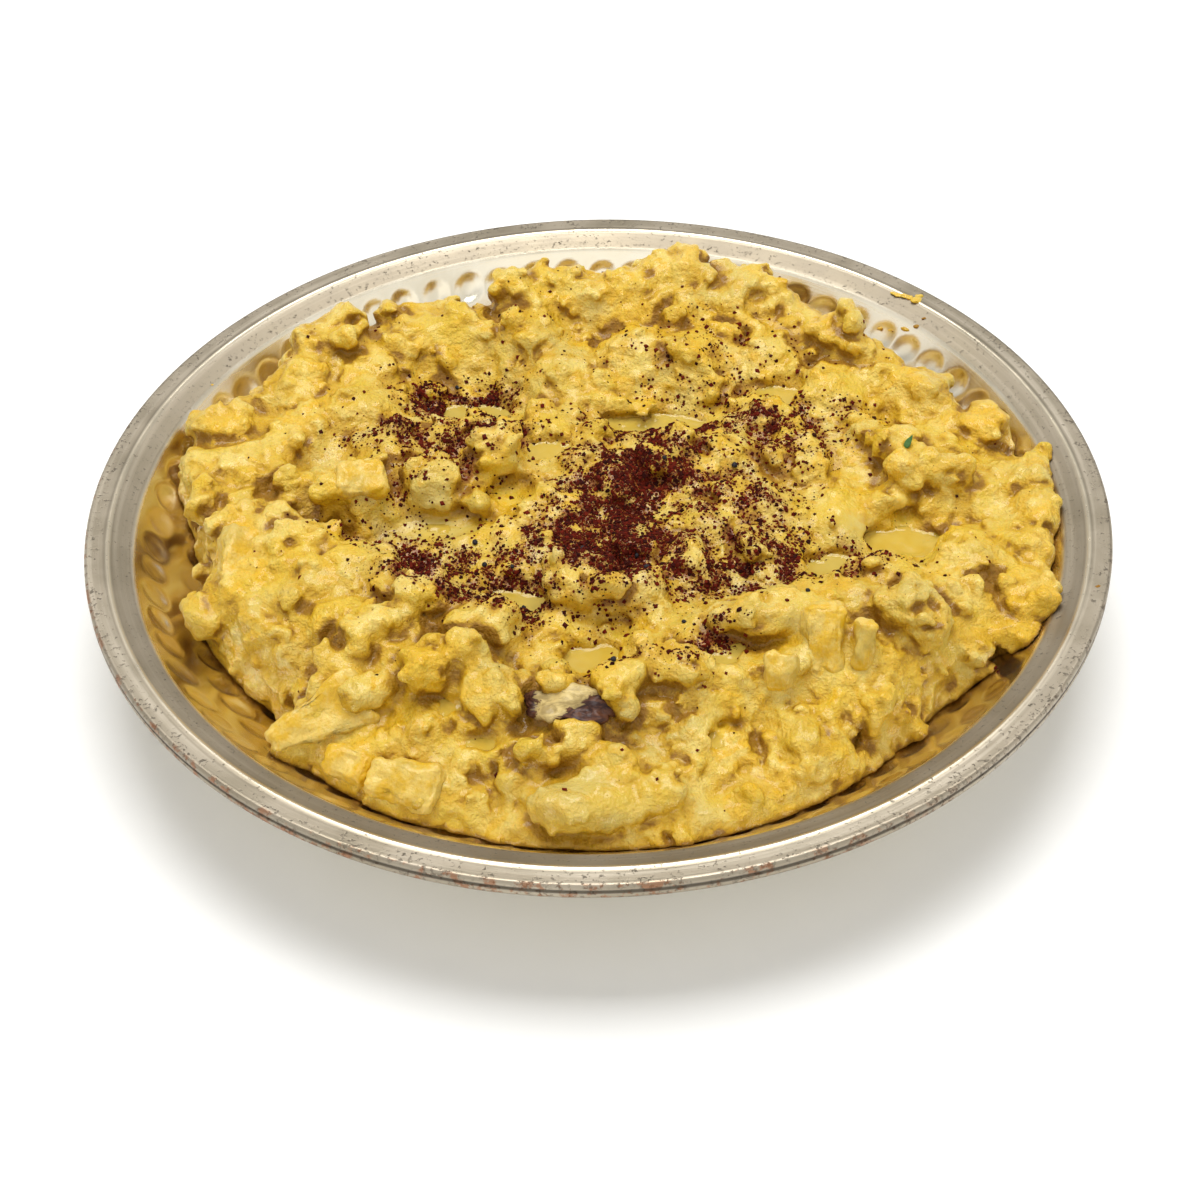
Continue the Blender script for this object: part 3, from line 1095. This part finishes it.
def build_dip(settings):
    """Mesh the field, thin it out where it is hidden, and store what the material reads."""
    remove_piece("dip_heap")
    field, levels = grow_dip(settings)
    POOL_LEVELS[:] = levels
    points, quads = surface(field.values, field.low, field.step)
    points, quads = largest_part(points, quads)
    obj = mesh_object("dip_heap", points, quads)
    thin_out(obj, points, settings.triangles)
    points = vertex_points(obj)
    normals = field.normals(points)
    radius = np.hypot(points[:, 0], points[:, 1])
    exposed = np.clip((points[:, 2] - wall_height(radius) - 0.3) / 1.5, 0.0, 1.0)
    flesh = field.sample(field.flesh, points)
    gap = points[:, 2] - wall_height(radius)
    hollow = np.maximum(hollowness(field, points, normals), np.clip(1.0 - gap / 2.5, 0.0, 1.0))
    still = calm(points)
    moved = roughen(points, normals * (exposed * (1.0 - 0.7 * still))[:, None])
    set_vertex_points(obj, moved)
    add_attribute(obj, "flesh", np.clip(flesh + patches(points, YELLOW_PATCHES), 0.0, 1.0))
    add_attribute(obj, "hollow", hollow)
    add_attribute(obj, "wet", still)
    watery = [max(0.0, noise.noise(Vector(p) / 11.0 + Vector((5.0, 1.0, 9.0)))) for p in points]
    add_attribute(obj, "watery", np.clip(watery + patches(points, GREY_PATCHES), 0.0, 1.0))
    add_attribute(obj, "sumac", sumac_strength(points, normals, hollow))
    finish_piece(obj, dip_material(), "dip", "dip")
    return obj


def thin_out(obj, points, triangles):
    """Decimate to the triangle limit, first where the dip lies hidden on the dish."""
    radius = np.hypot(points[:, 0], points[:, 1])
    hidden = points[:, 2] - wall_height(radius) < 0.25
    group = obj.vertex_groups.new(name="hidden")
    group.add(np.where(hidden)[0].tolist(), 1.0, "REPLACE")
    under = obj.modifiers.new("underside", "DECIMATE")
    under.vertex_group = "hidden"
    under.vertex_group_factor = 10.0
    under.ratio = 1.0 - 0.97 * hidden.mean()
    apply_modifiers(obj)
    obj.vertex_groups.clear()
    total = sum(len(polygon.vertices) - 2 for polygon in obj.data.polygons)
    over = obj.modifiers.new("over_all", "DECIMATE")
    over.ratio = min(1.0, triangles / total)
    over.use_collapse_triangulate = True
    apply_modifiers(obj)


def patches(points, spots):
    """Sum of some ellipses' strengths."""
    return sum(amount * ellipse(points, *shape) for *shape, amount in spots)


def sumac_strength(points, normals, hollow):
    """How thickly sumac lies: by place, in clumps, and more on faces that look up."""
    clumps = np.array([noise.noise(Vector(p) / 3.4) + 0.6 * noise.noise(Vector(p) / 1.5) for p in points])
    strength = patches(points, SPRINKLES) * np.clip(1.0 + 2.3 * clumps, 0.1, 2.8)
    strength *= np.clip(0.3 + normals[:, 2], 0.0, 1.0) * (0.7 + 0.6 * hollow)
    return np.clip(strength, 0.0, 2.5)


# Chunks, skin, herb and crumbs ----------------------------------------------------------------


def refined_copy(node, name, levels, weld=0.02):
    """A smooth, finer copy of a CAD node's mesh."""
    remove_piece(name)
    bm = bmesh.new()
    bm.from_mesh(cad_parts[node].data)
    bmesh.ops.remove_doubles(bm, verts=bm.verts, dist=weld * MM)
    bmesh.ops.recalc_face_normals(bm, faces=bm.faces)
    mesh = bpy.data.meshes.new(name)
    bm.to_mesh(mesh)
    bm.free()
    mesh.shade_smooth()
    obj = bpy.data.objects.new(name, mesh)
    bpy.context.scene.collection.objects.link(obj)
    for kind, count in (("SIMPLE", levels - 1), ("CATMULL_CLARK", 1)):
        finer = obj.modifiers.new(kind.lower(), "SUBSURF")
        finer.subdivision_type = kind
        finer.levels = count
        finer.render_levels = count
    apply_modifiers(obj)
    return obj


def ruffle(obj, waves):
    """Move the vertices along their normals by noise, given as (width, height) pairs in mm."""
    points = vertex_points(obj)
    normals = np.array([v.normal for v in obj.data.vertices])
    for width, height in waves:
        shift = np.array([noise.noise(Vector(p) / width) for p in points])
        points = points + normals * (height * shift)[:, None]
    set_vertex_points(obj, points)


def build_flesh():
    """The eight separate chunks of flesh."""
    material = flesh_material()
    for node in CHUNK_NODES:
        obj = refined_copy(node, node.replace("chunk", "flesh"), 3)
        ruffle(obj, [(7.0, 1.3), (2.8, 0.7), (1.3, 0.35)])
        finish_piece(obj, material, "flesh", node)


def build_skin():
    """The scrap of charred skin."""
    obj = refined_copy("aubergine_skin", "charred_skin", 2)
    points = vertex_points(obj)
    centred = points - points.mean(axis=0)
    across, along = (centred / np.abs(centred).max(axis=0))[:, :2].T
    left_end = np.clip(2.6 * (-across - 0.42), 0.0, 1.0)
    right_strip = np.clip(2.4 * (0.75 * across - 0.65 * along - 0.05), 0.0, 1.0)
    add_attribute(obj, "edge", np.maximum(left_end, right_strip))
    ruffle(obj, [(5.0, 1.6), (1.6, 0.5), (0.6, 0.12)])
    finish_piece(obj, skin_material(), "skin", "aubergine_skin")


def dip_tree():
    """A ray-casting tree of the dressed dip, in metres."""
    return BVHTree.FromObject(bpy.data.objects["dip_heap"], bpy.context.evaluated_depsgraph_get())


def surface_point(tree, x, y):
    """Place and normal of the dressed dip at x, y, in metres."""
    place, normal = tree.ray_cast(Vector((x * MM, y * MM, 0.1)), Vector((0.0, 0.0, -1.0)))[:2]
    return place, normal


HERB_PLACE = (62.3, 9.7)
HERB_SIZE = (3.0, 1.5, 0.35)


def build_herb():
    """A pointed shred of leaf on the right."""
    remove_piece("herb_shred")
    place, normal = surface_point(dip_tree(), *HERB_PLACE)
    bm = bmesh.new()
    bmesh.ops.create_uvsphere(bm, u_segments=24, v_segments=12, radius=0.5)
    for vert in bm.verts:
        x, y, z = vert.co
        narrow = 1.0 - 0.8 * (x + 0.5) ** 2
        vert.co = (x * HERB_SIZE[0], y * HERB_SIZE[1] * narrow, z * HERB_SIZE[2] + 0.5 * x * x)
    bm.transform(Matrix.Scale(MM, 4))
    lean = normal.to_track_quat("Z", "Y").to_matrix().to_4x4() @ Euler((0.2, -0.5, 1.4)).to_matrix().to_4x4()
    bm.transform(Matrix.Translation(place + normal * 0.9 * MM) @ lean)
    mesh = bpy.data.meshes.new("herb_shred")
    bm.to_mesh(mesh)
    bm.free()
    mesh.shade_smooth()
    obj = bpy.data.objects.new("herb_shred", mesh)
    bpy.context.scene.collection.objects.link(obj)
    ruffle(obj, [(0.9, 0.12)])
    finish_piece(obj, herb_material(), "herb")


# Crumbs of dip on the rim, as (x, y, half sizes, turn in degrees, browning).
CRUMBS = [
    (66.6, 67.6, (1.7, 0.7, 0.3), -30, 0.0), (68.6, 66.2, (1.5, 0.8, 0.4), -28, 0.0),
    (70.4, 65.0, (1.4, 1.0, 0.5), 10, 0.0), (71.2, 66.2, (0.8, 0.6, 0.4), 0, 0.0),
    (62.4, 62.2, (0.7, 0.4, 0.3), 20, 0.5), (64.6, 60.6, (0.5, 0.4, 0.25), 0, 0.6),
    (67.5, 59.2, (1.1, 0.5, 0.35), -30, 0.6), (69.8, 58.2, (0.7, 0.4, 0.3), 10, 0.8),
    (71.5, 59.5, (0.6, 0.4, 0.3), 0, 1.0), (55.0, 70.5, (0.5, 0.3, 0.2), 0, 0.6),
    (-80.5, 43.0, (0.4, 0.3, 0.2), 0, 0.4), (93.5, -29.1, (0.45, 0.35, 0.25), 0, 1.0),
]


def build_crumbs():
    """Smears and crumbs of dip on the far right of the rim."""
    remove_piece("rim_crumbs")
    bm = bmesh.new()
    browned = []
    for x, y, sizes, turn, browning in CRUMBS:
        made = bmesh.ops.create_icosphere(bm, subdivisions=3, radius=1.0)["verts"]
        browned += [browning] * len(made)
        height = float(wall_height(math.hypot(x, y)))
        place = Matrix.Translation(Vector((x, y, height + 0.35 * sizes[2])) * MM)
        shape = Matrix.Diagonal((*[s * MM for s in sizes], 1.0))
        bmesh.ops.transform(bm, matrix=place @ Matrix.Rotation(math.radians(turn), 4, "Z") @ shape, verts=made)
    mesh = bpy.data.meshes.new("rim_crumbs")
    bm.to_mesh(mesh)
    bm.free()
    mesh.shade_smooth()
    obj = bpy.data.objects.new("rim_crumbs", mesh)
    bpy.context.scene.collection.objects.link(obj)
    ruffle(obj, [(1.4, 0.4), (0.6, 0.15)])
    for name, value in (("flesh", 0.45), ("wet", 0.0), ("watery", 0.0), ("sumac", 0.0)):
        add_attribute(obj, name, np.full(len(mesh.vertices), value))
    add_attribute(obj, "hollow", browned)
    finish_piece(obj, bpy.data.materials["aubergine_dip"], "dip")


# Oil ------------------------------------------------------------------------------------------

POOL_CELL = 0.36


def flooded(heights, level, start):
    """Cells under a level that are joined to the start, or None where they reach the edge."""
    low = heights < level
    wet = np.zeros_like(low)
    wet[start] = low[start]
    while True:
        grown = np.pad(wet, 1)
        spread = low & (grown[1:-1, 1:-1] | grown[:-2, 1:-1] | grown[2:, 1:-1] | grown[1:-1, :-2]
                        | grown[1:-1, 2:])
        if (spread == wet).all():
            break
        wet = spread
    if wet[0].any() or wet[-1].any() or wet[:, 0].any() or wet[:, -1].any():
        return None
    return wet


def pool_mesh(tree, pool, level):
    """Points and quads of one closed pool, filled up to its level or to where it would spill."""
    x, y, length, width, turn, depth = pool
    reach = 1.6 * max(length, width)
    steps = np.arange(-reach, reach + POOL_CELL, POOL_CELL)
    heights = np.full((len(steps), len(steps)), 99.0)
    for i, dx in enumerate(steps):
        for j, dy in enumerate(steps):
            place = surface_point(tree, x + dx, y + dy)[0]
            if place:
                heights[i, j] = place.z / MM
    grid_x, grid_y = np.meshgrid(x + steps, y + steps, indexing="ij")
    flat = np.stack([grid_x.ravel(), grid_y.ravel()], axis=1)
    inside = ellipse(flat, x, y, length, width, turn).reshape(heights.shape)
    start = np.unravel_index(np.argmin(heights - 3.0 * inside), heights.shape)
    wet = flooded(heights, level, start)
    while wet is None or (wet & (inside < 0.08)).any():
        level -= 0.05
        wet = flooded(heights, level, start)
    shore = np.pad(wet, 2)
    rows, columns = wet.shape
    wide = sum(shore[i:i + rows, j:j + columns] for i in range(5) for j in range(5)) > 0
    cells = wide[:-1, :-1] & wide[1:, :-1] & wide[1:, 1:] & wide[:-1, 1:]
    deep = np.clip(level - heights, 0.0, None)
    top = level + 0.3 * np.exp(-deep / 0.12)
    top = np.where(wet, top, np.minimum(top, heights + 0.03))
    bottom = np.minimum(top, heights) - 0.35
    return closed_sheet(grid_x, grid_y, top, bottom, cells)


def closed_sheet(grid_x, grid_y, top, bottom, cells):
    """A closed slab over the chosen cells of a grid."""
    shape = grid_x.shape
    count = grid_x.size
    index = np.arange(count).reshape(shape)
    chosen = np.argwhere(cells)
    a, b = index[chosen[:, 0], chosen[:, 1]], index[chosen[:, 0] + 1, chosen[:, 1]]
    c, d = index[chosen[:, 0] + 1, chosen[:, 1] + 1], index[chosen[:, 0], chosen[:, 1] + 1]
    upper = np.stack([a, b, c, d], axis=1)
    quads = [upper, upper[:, ::-1] + count]
    padded = np.pad(cells, 1)
    for di, dj, first, second in ((-1, 0, d, a), (1, 0, b, c), (0, -1, a, b), (0, 1, c, d)):
        shore = ~padded[chosen[:, 0] + 1 + di, chosen[:, 1] + 1 + dj]
        quads.append(np.stack([second, first, first + count, second + count], axis=1)[shore])
    quads = np.concatenate(quads)
    points = np.stack([np.tile(grid_x.ravel(), 2), np.tile(grid_y.ravel(), 2),
                       np.concatenate([top.ravel(), bottom.ravel()])], axis=1)
    used, packed = np.unique(quads, return_inverse=True)
    return points[used], packed.reshape(-1, 4)


def build_oil():
    """The pools of oil in the hollows, as one piece."""
    remove_piece("oil_pools")
    tree = dip_tree()
    all_points, all_quads, start = [], [], 0
    for pool, level in zip(POOLS, POOL_LEVELS):
        points, quads = pool_mesh(tree, pool, level)
        if len(quads) == 0:
            continue
        all_points.append(points)
        all_quads.append(quads + start)
        start += len(points)
    obj = mesh_object("oil_pools", np.concatenate(all_points), np.concatenate(all_quads))
    finish_piece(obj, oil_material(), "oil")


# Sumac and pepper -----------------------------------------------------------------------------


def flake_shapes(prefix, count, flatness, seed, fine=False):
    """A hidden collection of rough flakes, each about 1 mm wide."""
    rng = np.random.default_rng(seed)
    collection = bpy.data.collections.new(prefix + "_shapes")
    for i in range(count):
        bm = bmesh.new()
        bmesh.ops.create_cone(bm, cap_ends=True, segments=3 if fine else 4, radius1=0.55,
                              radius2=0.38, depth=0.8)
        stretch = rng.uniform(0.7, 1.25, 2)
        for vert in bm.verts:
            vert.co *= rng.uniform(0.7, 1.2)
            vert.co.x *= stretch[0]
            vert.co.y *= stretch[1]
            vert.co.z *= flatness
        mesh = bpy.data.meshes.new(f"{prefix}_shape_{i}")
        bm.to_mesh(mesh)
        bm.free()
        collection.objects.link(bpy.data.objects.new(f"{prefix}_shape_{i}", mesh))
    return collection


def scatter_tree(name):
    """Geometry Nodes: flakes on a surface, thick where an attribute says, each with its tone."""
    tree = bpy.data.node_groups.new(name, "GeometryNodeTree")
    sockets = (("Surface", "NodeSocketObject"), ("Shapes", "NodeSocketCollection"),
               ("Strength", "NodeSocketString"), ("Density", "NodeSocketFloat"),
               ("Smallest", "NodeSocketFloat"), ("Largest", "NodeSocketFloat"),
               ("Skew", "NodeSocketFloat"), ("Seed", "NodeSocketInt"),
               ("Material", "NodeSocketMaterial"))
    for label, kind in sockets:
        tree.interface.new_socket(label, in_out="INPUT", socket_type=kind)
    tree.interface.new_socket("Geometry", in_out="OUTPUT", socket_type="NodeSocketGeometry")
    nodes, link = tree.nodes, tree.links.new
    entry = nodes.new("NodeGroupInput")
    leave = nodes.new("NodeGroupOutput")

    source = nodes.new("GeometryNodeObjectInfo")
    link(entry.outputs["Surface"], source.inputs["Object"])
    strength = nodes.new("GeometryNodeInputNamedAttribute")
    strength.data_type = "FLOAT"
    link(entry.outputs["Strength"], strength.inputs["Name"])
    density = nodes.new("ShaderNodeMath")
    density.operation = "MULTIPLY"
    link(strength.outputs["Attribute"], density.inputs[0])
    link(entry.outputs["Density"], density.inputs[1])
    points = nodes.new("GeometryNodeDistributePointsOnFaces")
    link(source.outputs["Geometry"], points.inputs["Mesh"])
    link(density.outputs[0], points.inputs["Density"])
    link(entry.outputs["Seed"], points.inputs["Seed"])

    chance = nodes.new("FunctionNodeRandomValue")
    link(entry.outputs["Seed"], chance.inputs["Seed"])
    skewed = nodes.new("ShaderNodeMath")
    skewed.operation = "POWER"
    link(chance.outputs[1], skewed.inputs[0])
    link(entry.outputs["Skew"], skewed.inputs[1])
    size = nodes.new("ShaderNodeMapRange")
    link(skewed.outputs[0], size.inputs["Value"])
    link(entry.outputs["Smallest"], size.inputs["To Min"])
    link(entry.outputs["Largest"], size.inputs["To Max"])

    shapes = nodes.new("GeometryNodeCollectionInfo")
    shapes.inputs["Separate Children"].default_value = True
    link(entry.outputs["Shapes"], shapes.inputs["Collection"])
    spin = nodes.new("FunctionNodeRandomValue")
    spin.data_type = "FLOAT_VECTOR"
    spin.inputs[0].default_value = (-0.5, -0.5, -3.14)
    spin.inputs[1].default_value = (0.5, 0.5, 3.14)
    turned = nodes.new("FunctionNodeRotateRotation")
    turned.rotation_space = "LOCAL"
    link(points.outputs["Rotation"], turned.inputs["Rotation"])
    link(spin.outputs[0], turned.inputs["Rotate By"])
    pick = nodes.new("FunctionNodeRandomValue")
    pick.data_type = "INT"
    pick.inputs["Seed"].default_value = 5
    pick.inputs[4].default_value = 0
    pick.inputs[5].default_value = 99
    laid = nodes.new("GeometryNodeInstanceOnPoints")
    laid.inputs["Pick Instance"].default_value = True
    link(points.outputs["Points"], laid.inputs["Points"])
    link(shapes.outputs["Instances"], laid.inputs["Instance"])
    link(pick.outputs[2], laid.inputs["Instance Index"])
    link(turned.outputs["Rotation"], laid.inputs["Rotation"])
    link(size.outputs["Result"], laid.inputs["Scale"])

    tone = nodes.new("FunctionNodeRandomValue")
    tone.inputs["Seed"].default_value = 3
    stored = nodes.new("GeometryNodeStoreNamedAttribute")
    stored.domain = "INSTANCE"
    stored.inputs["Name"].default_value = "tone"
    link(laid.outputs["Instances"], stored.inputs["Geometry"])
    link(tone.outputs[1], stored.inputs["Value"])
    real = nodes.new("GeometryNodeRealizeInstances")
    link(stored.outputs["Geometry"], real.inputs["Geometry"])
    finish = nodes.new("GeometryNodeSetMaterial")
    link(real.outputs["Geometry"], finish.inputs["Geometry"])
    link(entry.outputs["Material"], finish.inputs["Material"])
    link(finish.outputs["Geometry"], leave.inputs["Geometry"])
    return tree


def scatter(name, shapes, strength, density, sizes, skew, seed, material, slot):
    """Scatter one kind of flake on the dip as one plain mesh piece."""
    remove_piece(name)
    obj = bpy.data.objects.new(name, bpy.data.meshes.new(name))
    bpy.context.scene.collection.objects.link(obj)
    tree = scatter_tree(name + "_scatter")
    modifier = obj.modifiers.new("scatter", "NODES")
    modifier.node_group = tree
    values = {"Surface": bpy.data.objects["dip_heap"], "Shapes": shapes, "Strength": strength,
              "Density": density / MM ** 2, "Smallest": sizes[0] * MM, "Largest": sizes[1] * MM,
              "Skew": skew, "Seed": seed, "Material": material}
    for item in tree.interface.items_tree:
        if item.name in values:
            modifier[item.identifier] = values[item.name]
    apply_modifiers(obj)
    finish_piece(obj, material, slot)
    return obj


def build_sumac(settings):
    """Coarse flakes of sumac, and finer dust between them."""
    shapes = flake_shapes("sumac", 6, 0.55, settings.seed)
    coarse = flake_material("sumac_flakes", (0.018, 0.0012, 0.0006), (0.145, 0.011, 0.002), 0.8)
    scatter("sumac_flakes", shapes, "sumac", settings.flakes, (0.4, settings.flake_size), 1.8,
            settings.seed, coarse, "sumac")
    dust = flake_shapes("dust", 4, 0.6, settings.seed + 1, fine=True)
    scatter("sumac_dust", dust, "sumac", settings.dust, (0.2, 0.42), 1.0,
            settings.seed + 1, coarse, "sumac")


# Places of the larger pepper bits.
PEPPER = [(-22, -15), (-16.5, -18), (-14.5, -25.5), (15.5, -37.5), (2.2, -51.5), (-19.5, -31), (9, -23.5),
          (-29, 44), (-35, 36), (7.5, -16), (-24, -9), (38.5, -34.5), (27.5, 9), (13.5, 7), (-3, -15)]


def build_pepper(settings):
    """Bits of crushed pepper, each set on the dip."""
    remove_piece("pepper_bits")
    rng = np.random.default_rng(settings.seed + 1)
    tree = dip_tree()
    bm = bmesh.new()
    for x, y in PEPPER:
        place, normal = surface_point(tree, x, y)
        made = bmesh.ops.create_icosphere(bm, subdivisions=2, radius=0.5)["verts"]
        size = settings.pepper_size * rng.uniform(0.7, 1.1)
        shape = Matrix.Diagonal((*(size * rng.uniform(0.75, 1.0, 3) * MM), 1.0))
        turn = Euler(rng.uniform(-3.0, 3.0, 3)).to_matrix().to_4x4()
        bmesh.ops.transform(bm, verts=made,
                            matrix=Matrix.Translation(place + normal * 0.2 * size * MM) @ turn @ shape)
    mesh = bpy.data.meshes.new("pepper_bits")
    bm.to_mesh(mesh)
    bm.free()
    mesh.shade_smooth()
    obj = bpy.data.objects.new("pepper_bits", mesh)
    bpy.context.scene.collection.objects.link(obj)
    ruffle(obj, [(0.7, 0.22)])
    add_attribute(obj, "tone", rng.random(len(mesh.vertices)))
    finish_piece(obj, flake_material("black_pepper", (0.012, 0.011, 0.012), (0.04, 0.035, 0.04), 0.5), "pepper")


# Stage ----------------------------------------------------------------------------------------

CAMERA_DISTANCE = 459.4                    # from the middle of the rim, in mm
CAMERA_ELEVATION = 39.78                   # degrees over the rim's plane
CAMERA_AIM = (0.10, -29.76)                # where the view's middle meets the rim's plane
CAMERA_ROLL = -1.37
CAMERA_LENS = 70.0


def add_camera():
    """The camera at the reference view."""
    old = bpy.data.objects.get("camera")
    if old:
        bpy.data.objects.remove(old, do_unlink=True)
    lens = bpy.data.cameras.new("camera")
    lens.lens = CAMERA_LENS
    lens.sensor_width = 36.0
    lens.clip_start = 0.01
    camera = bpy.data.objects.new("camera", lens)
    elevation = math.radians(CAMERA_ELEVATION)
    camera.location = Vector((0.0, -CAMERA_DISTANCE * math.cos(elevation),
                              TOP + CAMERA_DISTANCE * math.sin(elevation))) * MM
    aim = Vector((*CAMERA_AIM, TOP)) * MM
    look = (aim - camera.location).to_track_quat("-Z", "Y")
    roll = Matrix.Rotation(math.radians(CAMERA_ROLL), 4, "Z")
    camera.rotation_euler = (look.to_matrix().to_4x4() @ roll).to_euler()
    bpy.context.scene.collection.objects.link(camera)
    bpy.context.scene.camera = camera


def add_softbox(name, place, size, power, target=(0.0, 0.0, 0.02)):
    """A square area light that looks at the dish, in metres and watts."""
    light = bpy.data.lights.new(name, "AREA")
    light.shape = "RECTANGLE"
    light.size, light.size_y = size
    light.energy = power
    lamp = bpy.data.objects.new(name, light)
    lamp.location = place
    lamp.rotation_euler = (Vector(target) - Vector(place)).to_track_quat("-Z", "Y").to_euler()
    bpy.context.scene.collection.objects.link(lamp)


def light_room(tree, strength):
    """A pale room, brighter along its walls than overhead, and brightest in front."""
    background = tree.nodes["Background"]
    background.inputs["Color"].default_value = (1.0, 0.995, 0.98, 1.0)
    direction = tree.nodes.new("ShaderNodeTexCoord")
    split = tree.nodes.new("ShaderNodeSeparateXYZ")
    height = tree.nodes.new("ShaderNodeMapRange")
    height.inputs["From Max"].default_value = 0.9
    height.inputs["To Min"].default_value = strength
    height.inputs["To Max"].default_value = 0.3 * strength
    tree.links.new(direction.outputs["Generated"], split.inputs[0])
    tree.links.new(split.outputs["Z"], height.inputs["Value"])
    shares = []
    for axis, dark, bright in (("Y", 0.45, -0.1), ("Z", 0.12, 0.34), ("Z", 0.97, 0.80)):
        share = tree.nodes.new("ShaderNodeMapRange")
        share.interpolation_type = "SMOOTHSTEP"
        share.inputs["From Min"].default_value = dark
        share.inputs["From Max"].default_value = bright
        tree.links.new(split.outputs[axis], share.inputs["Value"])
        shares.append(share.outputs["Result"])
    both = tree.nodes.new("ShaderNodeMath")
    both.operation = "MULTIPLY"
    tree.links.new(shares[0], both.inputs[0])
    tree.links.new(shares[1], both.inputs[1])
    panel = tree.nodes.new("ShaderNodeMath")
    panel.operation = "MULTIPLY"
    tree.links.new(both.outputs[0], panel.inputs[0])
    tree.links.new(shares[2], panel.inputs[1])
    total = tree.nodes.new("ShaderNodeMath")
    total.operation = "MULTIPLY_ADD"
    total.inputs[1].default_value = 0.5 * strength
    tree.links.new(panel.outputs[0], total.inputs[0])
    tree.links.new(height.outputs["Result"], total.inputs[2])
    tree.links.new(total.outputs[0], background.inputs["Strength"])


def build_stage(settings):
    """Pale floor, soft lights and the camera."""
    remove_piece("floor")
    floor = mesh_object("floor", [(-3000, -3000, 0), (3000, -3000, 0), (3000, 3000, 0), (-3000, 3000, 0)],
                        [(0, 1, 2, 3)])
    floor.data.materials.append(floor_material())
    world = bpy.data.worlds.new("pale_room")
    world.use_nodes = True
    light_room(world.node_tree, settings.surround)
    bpy.context.scene.world = world
    bpy.context.scene.view_settings.view_transform = "Standard"
    add_softbox("overhead_softbox", (0.0, 0.30, 1.22), (0.9, 0.7), settings.key)
    add_softbox("front_softbox", (0.0, -0.62, 0.98), (1.0, 0.75), settings.front)
    add_camera()


# Operators and panel --------------------------------------------------------------------------


class MEZZE_OT_add_dish(Operator):
    """Turn the dish and hammer its wall"""

    bl_idname = "mezze.add_dish"
    bl_label = "Dish"

    def execute(self, context):
        build_dish(context.scene.mezze_dish)
        return {"FINISHED"}


class MEZZE_OT_add_dip(Operator):
    """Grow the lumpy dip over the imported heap"""

    bl_idname = "mezze.add_dip"
    bl_label = "Dip"

    def execute(self, context):
        build_dip(context.scene.mezze_dip)
        return {"FINISHED"}


class MEZZE_OT_add_chunks(Operator):
    """Dress the chunks of flesh and the scrap of skin"""

    bl_idname = "mezze.add_chunks"
    bl_label = "Chunks and skin"

    def execute(self, context):
        build_flesh()
        build_skin()
        return {"FINISHED"}


class MEZZE_OT_add_oil(Operator):
    """Fill the hollows with oil"""

    bl_idname = "mezze.add_oil"
    bl_label = "Oil"

    def execute(self, context):
        build_oil()
        return {"FINISHED"}


class MEZZE_OT_add_spice(Operator):
    """Sprinkle the sumac and pepper"""

    bl_idname = "mezze.add_spice"
    bl_label = "Sumac and pepper"

    def execute(self, context):
        build_sumac(context.scene.mezze_scatter)
        build_pepper(context.scene.mezze_scatter)
        return {"FINISHED"}


class MEZZE_OT_add_scraps(Operator):
    """Lay the herb shred and the crumbs on the rim"""

    bl_idname = "mezze.add_scraps"
    bl_label = "Herb and crumbs"

    def execute(self, context):
        build_herb()
        build_crumbs()
        return {"FINISHED"}


class MEZZE_OT_add_stage(Operator):
    """Set the floor, lights and camera"""

    bl_idname = "mezze.add_stage"
    bl_label = "Stage"

    def execute(self, context):
        build_stage(context.scene.mezze_stage)
        return {"FINISHED"}


OPERATORS = (MEZZE_OT_add_dish, MEZZE_OT_add_dip, MEZZE_OT_add_chunks, MEZZE_OT_add_oil,
             MEZZE_OT_add_spice, MEZZE_OT_add_scraps, MEZZE_OT_add_stage)
SETTINGS = {"mezze_dish": DishSettings, "mezze_dip": DipSettings, "mezze_scatter": ScatterSettings,
            "mezze_stage": StageSettings}


class MEZZE_PT_panel(Panel):
    """Buttons for each group of pieces"""

    bl_idname = "MEZZE_PT_panel"
    bl_label = "Dish of dip"
    bl_space_type = "VIEW_3D"
    bl_region_type = "UI"
    bl_category = "Dip"

    def draw(self, context):
        for operator in OPERATORS:
            self.layout.operator(operator.bl_idname)
        for name, group in SETTINGS.items():
            box = self.layout.box()
            for prop in group.__annotations__:
                box.prop(getattr(context.scene, name), prop)


def register():
    for cls in (*SETTINGS.values(), *OPERATORS, MEZZE_PT_panel):
        bpy.utils.register_class(cls)
    for name, group in SETTINGS.items():
        setattr(bpy.types.Scene, name, PointerProperty(type=group))


def unregister():
    for name in SETTINGS:
        delattr(bpy.types.Scene, name)
    for cls in reversed((*SETTINGS.values(), *OPERATORS, MEZZE_PT_panel)):
        bpy.utils.unregister_class(cls)


def corners(bounds):
    """A box as plain lists of numbers."""
    return [[float(number) for number in corner] for corner in bounds]


def main():
    """Build every group in order, then note the sizes."""
    register()
    bpy.ops.mezze.add_dish()
    bpy.ops.mezze.add_dip()
    bpy.ops.mezze.add_chunks()
    bpy.ops.mezze.add_oil()
    bpy.ops.mezze.add_spice()
    bpy.ops.mezze.add_scraps()
    bpy.ops.mezze.add_stage()


if __name__ == "__main__":
    main()
